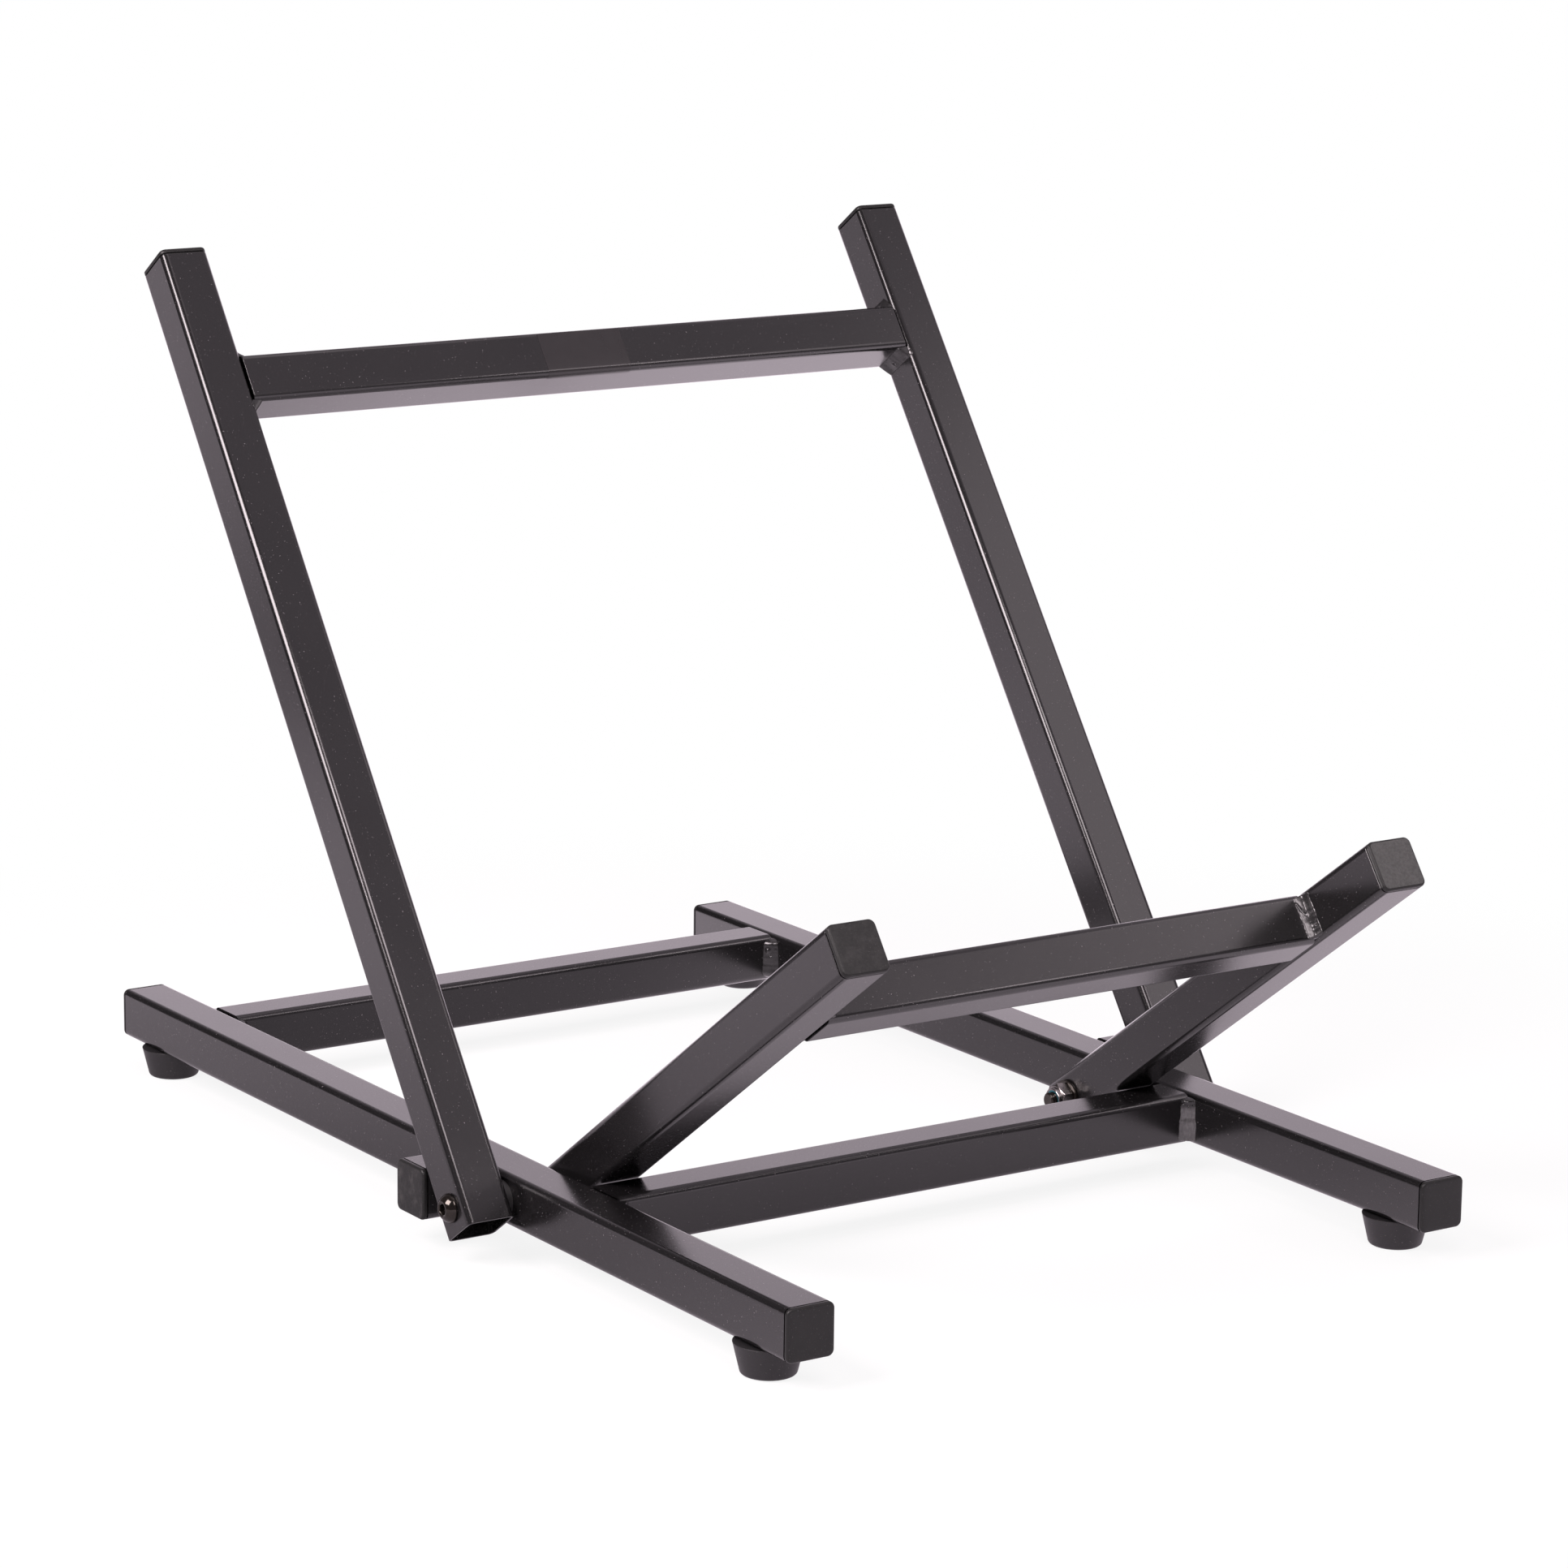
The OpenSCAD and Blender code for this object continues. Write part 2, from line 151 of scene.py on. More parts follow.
class Recipe:
    """Adds nodes to a material or world, each by its type, its settings and its sockets."""

    def __init__(self, owner):
        owner.use_nodes = True
        self.tree = owner.node_tree
        self.tree.nodes.clear()

    def node(self, kind, settings=None, sockets=None, output=0):
        made = self.tree.nodes.new(kind)
        for name, setting in (settings or {}).items():
            setattr(made, name, setting)
        for name, given in (sockets or {}).items():
            if isinstance(given, Value):
                self.tree.links.new(given.socket, made.inputs[name])
            else:
                made.inputs[name].default_value = given
        return Value(self, made.outputs[output] if len(made.outputs) else None)

    def coordinates(self, kind="Object"):
        return self.node("ShaderNodeTexCoord", output=kind)

    def stretched(self, scale):
        return self.node("ShaderNodeMapping", None, {"Vector": self.coordinates(), "Scale": scale})

    def grain(self, size, detail=2, roughness=0.5, where=None):
        """Noise whose features are about size millimetres across."""
        sockets = {"Vector": where or self.coordinates(), "Scale": 1 / (size * MM)}
        sockets["Detail"] = detail
        sockets["Roughness"] = roughness
        return self.node("ShaderNodeTexNoise", None, sockets)

    def parts(self, vector):
        """The three parts of a vector."""
        split = self.node("ShaderNodeSeparateXYZ", None, {0: vector}).socket.node
        return [Value(self, part) for part in split.outputs]

    def rays(self, *kinds):
        """Light path outputs, 1 for rays of that kind."""
        path = self.node("ShaderNodeLightPath").socket.node
        return [Value(self, path.outputs[kind]) for kind in kinds]

    def vectors(self, operation, sockets, output="Vector"):
        return self.node("ShaderNodeVectorMath", {"operation": operation}, sockets, output)

    def scaled(self, colour, factor):
        """Colour times a varying factor."""
        return self.vectors("SCALE", {0: tuple(colour), "Scale": factor})

    def band(self, value, low, high):
        """0 below low, 1 above high, smooth between."""
        settings = {"interpolation_type": "SMOOTHSTEP"}
        return self.node("ShaderNodeMapRange", settings, {"Value": value, "From Min": low, "From Max": high})

    def facing(self, axis):
        """1 where the surface of the piece faces along the axis or against it, 0 where it turns away."""
        sockets = {0: self.coordinates("Normal"), 1: tuple(axis)}
        along = self.vectors("DOT_PRODUCT", sockets, "Value")
        return self.band(along * along, 0.93, 0.99)

    def blend(self, factor, first, second):
        """Mix of two colours."""
        sockets = {0: factor, MIX_FIRST: first, MIX_SECOND: second}
        return self.node("ShaderNodeMix", {"data_type": "RGBA"}, sockets, MIX_RESULT)

    def shades(self, factor, colour, dark, light):
        """Mix of a colour made darker and the same colour made lighter."""
        first, second = ([channel * share for channel in colour[:3]] + [1] for share in (dark, light))
        return self.blend(factor, first, second)

    def relief(self, height, depth, strength=1.0):
        """Bump of a height that runs from 0 to 1 over depth millimetres."""
        sockets = {"Height": height, "Distance": depth * MM, "Strength": strength}
        return self.node("ShaderNodeBump", None, sockets)


# ---- Settings ----


def number(name, description, default, **kind):
    return bpy.props.FloatProperty(name=name, description=description, default=default, **kind)


def length(name, description, default):
    """Length property whose default is given in millimetres."""
    kind = {"min": 0, "unit": "LENGTH", "subtype": "DISTANCE", "precision": 5}
    return number(name, description, default * MM, **kind)


def amount(name, description, default, high=1):
    return number(name, description, default, min=0, max=high, subtype="FACTOR")


def vector(name, description, default, **kind):
    return bpy.props.FloatVectorProperty(name=name, description=description, default=default, **kind)


def colour(name, description, default):
    return vector(name, description, default, min=0, max=1, subtype="COLOR")


def group(kind, name):
    return bpy.props.PointerProperty(type=kind, name=name, description=kind.__doc__)


class STAND_PG_colours(bpy.types.PropertyGroup):
    """Colours of the coats, plastics and metals"""

    coat: colour("Powder coat", "Black coat of the tubes", (0.0062, 0.006, 0.0062))
    coat_gloss: amount("Coat roughness", "Roughness of the powder coat", 0.2)
    bead: colour("Bead coat", "Coat over the weld beads", (0.014, 0.0137, 0.014))
    plug: colour("End plugs", "Moulded plastic of the end plugs", (0.0105, 0.0108, 0.0104))
    rubber: colour("Feet", "Rubber of the feet", (0.011, 0.0107, 0.0114))
    bolt: colour("Pivot bolts", "Black finish of the bolts", (0.006, 0.005, 0.0044))
    nut: colour("Lock nuts", "Dark steel of the nuts", (0.3, 0.285, 0.28))
    nylon: colour("Nylon rings", "Insert of the lock nuts", (0.012, 0.125, 0.16))
    spacer: colour("Spacers", "Washers between the tubes", (0.015, 0.015, 0.015))
    zinc: colour("Foot screws", "Plated screws and washers under the feet", (0.58, 0.59, 0.61))
    film: colour("Film", "Blank film on the back crossbar", (0.017, 0.0155, 0.016))


class STAND_PG_welds(bpy.types.PropertyGroup):
    """Shape of the weld beads"""

    leg: length("Leg", "Width of a bead on each of its two tubes", 5.5)
    reach: length("Half length", "Half the length of a bead", 10.9)
    flat: length("Flat", "Half the flat width of a tube between its corners", 9.3)
    cap: length("Cap", "Length over which a bead rounds off at its ends", 1)
    toe: length("Toe", "Height of the raised line along each toe", 0.14)
    waves: length("Waves", "Height of the slow waves along a bead", 0.16)
    ripple: length("Ripple", "Height of the fine streaks and ripples", 0.035)
    step: length("Step", "Distance between the rings of the mesh", 0.2)


class STAND_PG_hardware(bpy.types.PropertyGroup):
    """Sizes of the pivot bolts and lock nuts"""

    thread: length("Thread diameter", "Diameter over the crests of the thread", 7.9)
    pitch: length("Thread pitch", "Distance from crest to crest", 1.25)
    thread_depth: length("Thread depth", "Depth of the thread", 0.68)
    thread_length: length("Thread length", "Length of the cut thread", 16)
    head_height: length("Head height", "Height of a bolt's domed head", 4.4)
    head_flat: length("Head flat", "Diameter of the flat round the socket", 8)
    socket: length("Socket", "Width across flats of the hexagon socket", 5)
    socket_depth: length("Socket depth", "Depth of the hexagon socket", 2.8)
    nut_hexagon: length("Nut hexagon", "Height of the hexagon of a lock nut", 6)
    nut_width: length("Nut width", "Width across flats of a lock nut", 14)
    collar: length("Collar", "Diameter of the rolled collar", 12)


class STAND_PG_mouldings(bpy.types.PropertyGroup):
    """Sizes of the end plugs, the feet and the film, and of the tube they fit"""

    plug_edge: length("Plug edge", "Rounding of a plug's outer edge", 1.2)
    plug_seam: length("Plug seam", "Depth of the groove that shows as a dark seam against the tube", 0.9)
    plug_dome: length("Plug dome", "Rise of a plug's face towards its middle", 0.15)
    tube_wall: length("Tube wall", "Wall thickness of the tube", 1.2)
    tube_corner: length("Tube corner", "Outer corner radius of the tube", 3.2)
    cut_edge: length("Cut edge", "Rounding of the tubes' sawn ends", 0.35)
    foot_edge: length("Foot edge", "Rounding of a foot's lower edge", 2)
    foot_base: length("Foot base", "Diameter of a foot at the floor before rounding", 25.2)
    film_left: length("Film left", "Distance of the film's left edge from the middle", 26.2)
    film_right: length("Film right", "Distance of the film's right edge from the middle", 22.6)
    film_thickness: length("Film thickness", "Thickness of the film", 0.12)


class STAND_PG_studio(bpy.types.PropertyGroup):
    """Camera, lamps and background"""

    eye: vector("Camera", "Place of the camera", (-1.402703, -2.107356, 0.756183), unit="LENGTH")
    aim: vector(
        "Direction",
        "Turn, tilt and roll of the camera",
        [math.radians(angle) for angle in (-33.9355, -12.6168, 0.7035)],
        subtype="EULER",
    )
    lens: number("Lens", "Focal length on a 36 mm sensor", 121.158, min=1, unit="CAMERA")
    light: colour("Light", "Tint of the reflected studio", (1.0, 0.87, 0.97))
    lamp: colour("Lamps", "Tint of the lamps", (1.0, 0.89, 0.925))
    wall: amount("Wall", "Brightness of the wall behind the stand", 1.12, 4)
    room: amount("Room", "Brightness of the dim side of the room", 0.08, 4)
    ceiling: amount("Ceiling", "Brightness added towards the right and above", 0.25, 4)
    floor_left: amount("Floor left", "Brightness of the floor in reflections at the left", 0.78, 4)
    floor_right: amount("Floor right", "Brightness added to it towards the right and the front", 0.4, 4)
    floor_sweep: amount("Floor sweep", "Brightness added where the floor meets the wall", 0.75, 4)
    floor_shade: amount("Floor shade", "Share taken from it inside the stand", 0.3)
    key: amount("Key lamp", "Brightness of the large soft box at the left", 18.0, 50)
    front: amount("Front lamp", "Brightness of the small soft box above the front", 9.0, 50)
    fill: amount("Fill lamp", "Brightness of the soft box at the right", 1.1, 50)
    strip: amount("Strip lamp", "Brightness of the far strip at the right", 8.0, 50)
    top: amount("Top lamp", "Brightness of the soft box overhead", 0.8, 50)
    shadow: amount("Shadow", "Strength of the shadow on the floor", 0.13)


class STAND_PG_settings(bpy.types.PropertyGroup):
    """Settings of the folding stand"""

    colours: group(STAND_PG_colours, "Colours")
    welds: group(STAND_PG_welds, "Welds")
    hardware: group(STAND_PG_hardware, "Hardware")
    mouldings: group(STAND_PG_mouldings, "Mouldings")
    studio: group(STAND_PG_studio, "Studio")


# ---- Finishes ----

# Each returns the sockets of a principled shader, and its material has the function's name.

COAT_IOR = 1.6
PALE_DUST = (0.3, 0.28, 0.29, 1)
PLUG_DUST = (0.2, 0.19, 0.19, 1)
RUBBER_DUST = (0.25, 0.24, 0.24, 1)


def clouded(recipe, colour, shades, cloud, roughness, skin):
    """Sockets of a plain finish: shades of a colour and a range of roughness that both follow a cloud."""
    return {
        "Base Color": recipe.shades(cloud, colour, *shades),
        "Roughness": roughness[0] + cloud * roughness[1],
        "Normal": skin,
    }


def satin_black_coat(recipe, colours):
    """Satin black coat with a faint orange peel, soft clouds and a few specks of dust."""
    clouds = recipe.grain(45, 3)
    specks = recipe.band(recipe.grain(0.75, 1), 0.74, 0.78)
    peel = recipe.grain(0.6, 2, 0.55)
    body = recipe.shades(clouds, colours.coat, 0.8, 1.25)
    return {
        "Base Color": recipe.blend(specks * 0.5, body, PALE_DUST),
        "Roughness": colours.coat_gloss + (clouds - 0.5) * 0.06 + (peel - 0.5) * 0.05 + specks * 0.2,
        "IOR": COAT_IOR,
        "Normal": recipe.relief(peel, 0.009),
    }


def coated_bead(recipe, colours):
    """The coat over a bead, with soft patches and a fine crust."""
    patches = recipe.grain(4, 3, 0.6)
    crust = recipe.grain(0.6, 2)
    return {
        "Base Color": recipe.shades(patches, colours.bead, 0.4, 1.6),
        "Roughness": 0.16 + patches * 0.08 + crust * 0.04,
        "IOR": COAT_IOR,
        "Normal": recipe.relief(crust, 0.02, 0.5),
    }


def pale_bead(recipe, colours):
    """Bead whose coat is paler than the other beads' and streaked along its length, and darker at its upper
    end.
    """
    streaks = recipe.grain(0.9, 3, 0.6, recipe.stretched((1, 1, 0.35)))
    cloud = recipe.band(streaks * 0.5 + recipe.grain(3, 3, 0.6) * 0.5, 0.38, 0.62)
    # Shades of the bead coat, made paler
    pale_coat = recipe.shades(cloud, colours.bead, 4.2, 6.8)
    height = recipe.parts(recipe.coordinates())[2] - middle("front_cross_tube").z
    upper = recipe.band(height + recipe.grain(2, 2) * 4 * MM, 6.5 * MM, 9.5 * MM)
    # Darker colour for the bead's upper end
    darker_top = [channel * 0.5 for channel in colours.bead] + [1]
    return coated_bead(recipe, colours) | {"Base Color": recipe.blend(upper, pale_coat, darker_top)}


def moulded_plug(recipe, colours, pale=1.0, rub=0.0):
    """Black plastic with a fine grain and dust; its face can be paler and rubbed in the middle."""
    texture = recipe.grain(0.5, 2, 0.6)
    smudge = recipe.grain(6, 3, 0.6)
    dust = recipe.band(recipe.grain(0.55, 1), 0.7, 0.76)
    face = recipe.facing(LONG["front_support"]).larger(recipe.facing(X_AXIS))
    rubbed = recipe.band(recipe.grain(5, 4, 0.65), 0.45, 0.75) * rub * face
    body = recipe.shades(smudge, colours.plug, 0.7, 1.35)
    powder = recipe.band(recipe.grain(1.3, 5, 0.8), 0.28, 0.72)
    worn = recipe.blend(face, body, recipe.shades(powder, colours.plug, 0.72 * pale, 1.24 * pale))
    return {
        "Base Color": recipe.blend(rubbed.larger(dust * 0.25), worn, PLUG_DUST),
        "Roughness": 0.34 + smudge * 0.1 + texture * 0.06 + rubbed,
        "Specular IOR Level": 0.27,
        "Normal": recipe.relief(texture, 0.02, 0.7),
    }


def scuffed_plug(recipe, colours):
    """Plug of a stop stub, rubbed in the middle of its face."""
    return moulded_plug(recipe, colours, 1.0, 0.14)


def dusty_plug(recipe, colours):
    """Plug of the right arm, its face pale with dust and wear."""
    return moulded_plug(recipe, colours, 6.5, 0.12)


def worn_plug(recipe, colours):
    """Plug of the left arm, a little worn."""
    return moulded_plug(recipe, colours, 1.5, 0.06)


def dull_rubber(recipe, colours):
    """Smooth dull rubber with a few pale specks."""
    bloom = recipe.grain(9, 3, 0.55)
    specks = recipe.band(recipe.grain(0.7, 1), 0.73, 0.78)
    skin = recipe.relief(recipe.grain(0.7, 2), 0.02, 0.6)
    made = clouded(recipe, colours.rubber, (0.8, 1.3), bloom, (0.46, 0.1), skin)
    speckled = recipe.blend(specks * 0.5, made["Base Color"], RUBBER_DUST)
    return made | {"Base Color": speckled, "Specular IOR Level": 0.42}


def gloss_black_bolt(recipe, colours):
    """Glossy black oxide with a brown cast and faint handling marks."""
    marks = recipe.grain(1.6, 4, 0.65)
    skin = recipe.relief(recipe.grain(0.7, 2), 0.01, 0.6)
    made = clouded(recipe, colours.bolt, (0.7, 1.5), marks, (0.07, 0.09), skin)
    return made | {"IOR": 1.54, "Specular Tint": (1.0, 0.92, 0.82, 1)}


def dark_turned_steel(recipe, colours):
    """Turned dark steel, brighter where it was rubbed."""
    turned = recipe.grain(0.5, 3, 0.6, recipe.stretched((4, 0.6, 0.6)))
    stain = recipe.grain(3, 4, 0.6)
    return {
        "Base Color": recipe.shades(stain, colours.nut, 0.55, 1.5),
        "Metallic": 1.0,
        "Roughness": 0.12 + turned * 0.12 + stain * 0.1,
        "Normal": recipe.relief(turned, 0.012, 0.6),
    }


def blue_green_nylon(recipe, colours):
    """Blue-green nylon with faint flow marks."""
    flow = recipe.grain(2, 3, 0.6)
    return clouded(recipe, colours.nylon, (0.75, 1.3), flow, (0.3, 0.12), recipe.relief(flow, 0.03, 0.5))


def spacer_plastic(recipe, colours):
    """Black plastic washer."""
    cloud = recipe.grain(3, 3)
    skin = recipe.relief(recipe.grain(0.6, 2), 0.02, 0.6)
    return clouded(recipe, colours.spacer, (0.8, 1.4), cloud, (0.42, 0.14), skin)


def zinc_plate(recipe, colours):
    """Bright plating with a cloudy bloom."""
    bloom = recipe.grain(2.5, 4, 0.6)
    skin = recipe.relief(bloom, 0.02, 0.5)
    return clouded(recipe, colours.zinc, (0.7, 1.15), bloom, (0.26, 0.2), skin) | {"Metallic": 1.0}


def blank_film(recipe, colours):
    """Thin glossy film without any print."""
    ripple = recipe.grain(9, 2)
    return clouded(recipe, colours.film, (0.9, 1.15), ripple, (0.2, 0.08), recipe.relief(ripple, 0.03, 0.5))


# Finish of each of the record's slots
FINISHES = {
    "powder_coat": satin_black_coat,
    "weld_coat": coated_bead,
    "end_plug": moulded_plug,
    "foot_rubber": dull_rubber,
    "black_bolt": gloss_black_bolt,
    "dark_nut": dark_turned_steel,
    "nylon": blue_green_nylon,
    "spacer": spacer_plastic,
    "zinc": zinc_plate,
}


def ready(finish):
    """Material of a finish, made the first time it is asked for."""
    if finish.__name__ in bpy.data.materials:
        return bpy.data.materials[finish.__name__]
    material = bpy.data.materials.new(finish.__name__)
    recipe = Recipe(material)
    sockets = finish(recipe, bpy.context.scene.stand.colours)
    shader = recipe.node("ShaderNodeBsdfPrincipled", None, sockets)
    recipe.node("ShaderNodeOutputMaterial", None, {"Surface": shader})
    return material


# ---- Meshes ----


def loft(bm, rings, wrap=False):
    """Skins a row of rings of equal length. Wrapped, the last ring joins the first; else both are filled."""
    rows = [[bm.verts.new(point) for point in ring] for ring in rings]
    followers = rows[1:] + (rows[:1] if wrap else [])
    for row, after in zip(rows, followers):
        for index in range(len(row)):
            following = (index + 1) % len(row)
            bm.faces.new((row[index], row[following], after[following], after[index]))
    if not wrap:
        bm.faces.new(rows[0][::-1])
        bm.faces.new(rows[-1])


def lofted(rings, wrap=False):
    bm = bmesh.new()
    loft(bm, rings, wrap)
    return bm


# Segments of round pieces, and of those whose outline needs more
ROUND, FINE = 72, 96


def turn(bm, section, matrix, segments=ROUND):
    """Turns a closed section of (radius, height) points round the matrix's Z."""
    rings = []
    for index in range(segments):
        angle = math.tau * index / segments
        ring = [(r * math.cos(angle), r * math.sin(angle), z) for r, z in section]
        rings.append([matrix @ Vector(point) for point in ring])
    loft(bm, rings, wrap=True)


def round_ring(radius, z, matrix, segments):
    """Circle, or with a function of the angle for radius any round outline."""
    ring = []
    for index in range(segments):
        angle = math.tau * index / segments
        r = radius(angle) if callable(radius) else radius
        ring.append(matrix @ Vector((r * math.cos(angle), r * math.sin(angle), z)))
    return ring


def hexagon(flats):
    """Radius of a hexagon of that width across flats, as a function of the angle."""
    sector = math.pi / 3
    return lambda angle: flats / 2 / math.cos((angle + sector / 2) % sector - sector / 2)


def arc(centre, radius, start, stop, steps):
    """Points of an arc as pairs, with angles in degrees from the first direction to the second."""
    points = []
    for step in range(steps + 1):
        angle = math.radians(start + (stop - start) * step / steps)
        points.append((centre[0] + radius * math.cos(angle), centre[1] + radius * math.sin(angle)))
    return points


def square_ring(half, corner, z, matrix):
    """Square with rounded corners."""
    corner = max(corner, CLEAR)
    points = []
    for quarter, (x, y) in enumerate(((1, 1), (-1, 1), (-1, -1), (1, -1))):
        centre = x * (half - corner), y * (half - corner)
        points += arc(centre, corner, 90 * quarter, 90 * quarter + 90, 8)
    return [matrix @ Vector((x, y, z)) for x, y in points]


def add_object(name, data):
    made = bpy.data.objects.new(name, data)
    bpy.context.scene.collection.objects.link(made)
    return made


def mesh_of(name, bm):
    mesh = bpy.data.meshes.new(name)
    bm.to_mesh(mesh)
    bm.free()
    return mesh


def add_piece(name, bm, finish, body, stands_for=(), crease=32):
    """Makes an object of the mesh, dresses it and lets it ride on its body."""
    bmesh.ops.recalc_face_normals(bm, faces=bm.faces)
    mesh = mesh_of(name, bm)
    mesh.polygons.foreach_set("use_smooth", [True] * len(mesh.polygons))
    mesh.set_sharp_from_angle(angle=math.radians(crease))
    mesh.materials.append(ready(finish))
    piece = add_object(name, mesh)
    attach(piece, body)
    if stands_for:
        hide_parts(*stands_for)


# ---- Tubes ----

# Tubes whose sawn ends catch the light
CUT_TUBES = ("left_upright", "right_upright", "back_crossbar", "support_crossbar", "left_arm", "right_arm")


class STAND_OT_coats(bpy.types.Operator):
    """Rounds the sawn ends of the tubes and gives every part of the frame the finish of its slot"""

    bl_idname = "stand.coats"
    bl_label = "Coats of the frame"

    def execute(self, context):
        for name in CUT_TUBES:
            joined = frame["nodes"][name].modifiers.new("joined", "WELD")
            joined.merge_threshold = 0.002 * MM
            edges = frame["nodes"][name].modifiers.new("cut_edges", "BEVEL")
            edges.width = context.scene.stand.mouldings.cut_edge
            edges.segments = 4
            edges.limit_method = "ANGLE"
            edges.angle_limit = math.radians(60)
            edges.use_clamp_overlap = False
        for part in frame["nodes"].values():
            for slot in part.material_slots:
                base = slot.material.name.split(".")[0]
                if base not in FINISHES:
                    raise RuntimeError("no finish for the slot " + base)
                slot.material = ready(FINISHES[base])
        return {"FINISHED"}


# ---- Weld beads ----

# Marks on the beads that show, by tube, side (1 is right) and edge (1 is farther along the frame). Each has
# its place along the bead, its place across as a share, its size and its height, in millimetres
MARKS = {
    # A ridge at the upper end, and pits
    ("front_cross_tube", 1, -1): [(-9.5, 0.3, 0.8, 0.4), (-9.5, 0.48, 0.9, 0.55), (-9.6, 0.66, 0.8, 0.45)]
    + [(-8.6, 0.12, 0.5, -0.5), (-8.2, 0.86, 0.45, -0.4), (-7.6, 0.5, 0.45, -0.5)]
    + [(-6.7, 0.56, 0.4, -0.5), (-5.9, 0.6, 0.35, -0.4)],
    ("rear_cross_tube", 1, -1): [(-4.8, 0.3, 1.6, 0.5), (-2.2, 0.5, 0.5, -0.8)],
    # A groove that curves in from the toe, and a pinhole
    ("support_crossbar", 1, 1): [(7.4 - 0.7 * step, 0.06 + 0.03 * step, 0.6, -0.26) for step in range(10)]
    + [(-5.5, 0.8, 0.35, -0.4)],
    ("back_crossbar", 1, -1): [(1.2, 0.55, 0.7, -0.9)],
}
# Spatter on the upright's rounded edge below the back crossbar: distance from the crossbar and size
SPATTER = [(1 * MM, 0.8 * MM), (3.2 * MM, 1.5 * MM)]
SPATTER_SHAPE = (1.2, 0.8, 0.24, 1)

# Length along a bead and count across it of its slow waves, its streaks, its ripples and of the nicks
# in its edges
WAVES, STREAKS, RIPPLES, NICKS = (5 * MM, 1.6), (12 * MM, 11), (1.3 * MM, 4), (1.7 * MM, 0)
SEED_STEP = 7.31
# Shares of a bead's width: place and width of its raised toes, and the strip at the toes without waves
TOE_PLACE, TOE_WIDTH, TOE_CALM = 0.05, 0.03, 0.16
# What is left of a bead's legs at its ends and at the foot of its ramp
CAP_LEG, RAMP_LEG = 0.3, 0.4
# Share by which the legs vary: always, with the waves and with the streaks
LEG_DRIFT, LEG_WAVES, LEG_STREAKS = 0.02, 0.07, 0.035
# Width of a bead's face in legs, and how far a mark's rim bends back
FACE_WIDTH, MARK_RIM = 1.4, 0.7
FACETS = 24
# How far a toe can sink in its tube, and how far the bead's back lies behind the tubes' faces
TOE_SUNK, BACK_SUNK = 0.05 * MM, 0.12 * MM


class Form(NamedTuple):
    """Form of a bead: its first leg, the height and place of its crest, the steepness of its sides, how
    much it widens along its run, its shares of waves, streaks and cap, the length of the ramp at its
    start, and its second leg as a share of the first."""

    leg: float
    crown: float
    crest: float = 0.5
    power: float = 1.7
    widening: float = 0.0
    waves: float = 1.0
    streaks: float = 1.0
    cap: float = 1.0
    ramp: float = 0.4 * MM
    tall: float = 1.0


class Corner(NamedTuple):
    """Corner of two tubes: its point, the directions of a bead's two legs and of its run, the place along
    the run where it starts, its seed, its form and its marks."""

    point: Vector
    leg_a: Vector
    leg_b: Vector
    run: Vector
    start: float
    seed: int
    form: Form
    marks: list


def wobble(seed, along, across, pattern):
    """Smooth noise from -1 to 1 over a bead."""
    size, count = pattern
    return noise.noise(Vector((along / size, across * count, seed * SEED_STEP)))


def bead_rise(corner, welds, along, across):
    """Height of a bead over the flat between its toes: crest, raised toes, soft waves and marks."""
    form, seed = corner.form, corner.seed
    slope = across / form.crest if across < form.crest else (1 - across) / (1 - form.crest)
    rise = form.crown * (1 - max(0, 1 - slope) ** form.power)
    edge = min(across, 1 - across)
    rise += welds.toe * math.exp(-(((edge - TOE_PLACE) / TOE_WIDTH) ** 2))
    flow = ease(edge / TOE_CALM)
    rise += flow * welds.waves * form.waves * wobble(seed + 3, along, across, WAVES)
    streaks = wobble(seed + 5, along, across, STREAKS) + wobble(seed + 9, along, across, RIPPLES)
    rise += flow * welds.ripple * form.streaks * streaks
    for place_along, place_across, size, height in corner.marks:
        off_along = (along - place_along * MM) / (size * MM)
        off_across = (across - place_across) * form.leg * FACE_WIDTH / (size * MM)
        far = off_along**2 + off_across**2
        rise += height * MM * (1 - MARK_RIM * far) * math.exp(-far)
    return rise


def bead_section(corner, welds, along):
    """Outline of a bead at a place along its run, as distances from the two tubes."""
    form = corner.form
    end = min(along - corner.start, welds.reach - along)
    taper = math.sqrt(max(0, 1 - max(0, 1 - end / (welds.cap * form.cap)) ** 2))
    legs = []
    for side in (0, 1):
        share = LEG_DRIFT + LEG_WAVES * form.waves
        wave = share * wobble(corner.seed + 11 + side, along, 0, WAVES)
        wave += LEG_STREAKS * form.streaks * wobble(corner.seed + 17 + side, along, 0, NICKS)
        spread = 1 + form.widening * along / welds.reach
        legs.append(form.leg * (CAP_LEG + (1 - CAP_LEG) * taper) * spread * (1 + wave))
    climb = min(1, (along - corner.start + 0.4 * MM) / form.ramp)
    leg_a, leg_b = legs[0] * (RAMP_LEG + (1 - RAMP_LEG) * climb), legs[1] * climb * form.tall
    # The back follows the tube's rounded edge past the flat
    radius = HALF - welds.flat
    round_off = max(0, abs(along) - welds.flat)
    recess = radius - math.sqrt(max(0, radius**2 - round_off**2)) + BACK_SUNK
    section = []
    for facet in range(FACETS + 1):
        across = (ease(facet / FACETS) + facet / FACETS) / 2
        rise = taper * bead_rise(corner, welds, along, across) * math.sqrt(0.5)
        a = max(leg_a * (1 - across) + rise, -TOE_SUNK)
        section.append((a, max(leg_b * across + rise, -TOE_SUNK)))
    return section + [(-recess, leg_b), (-recess, -recess), (leg_a, -recess)]


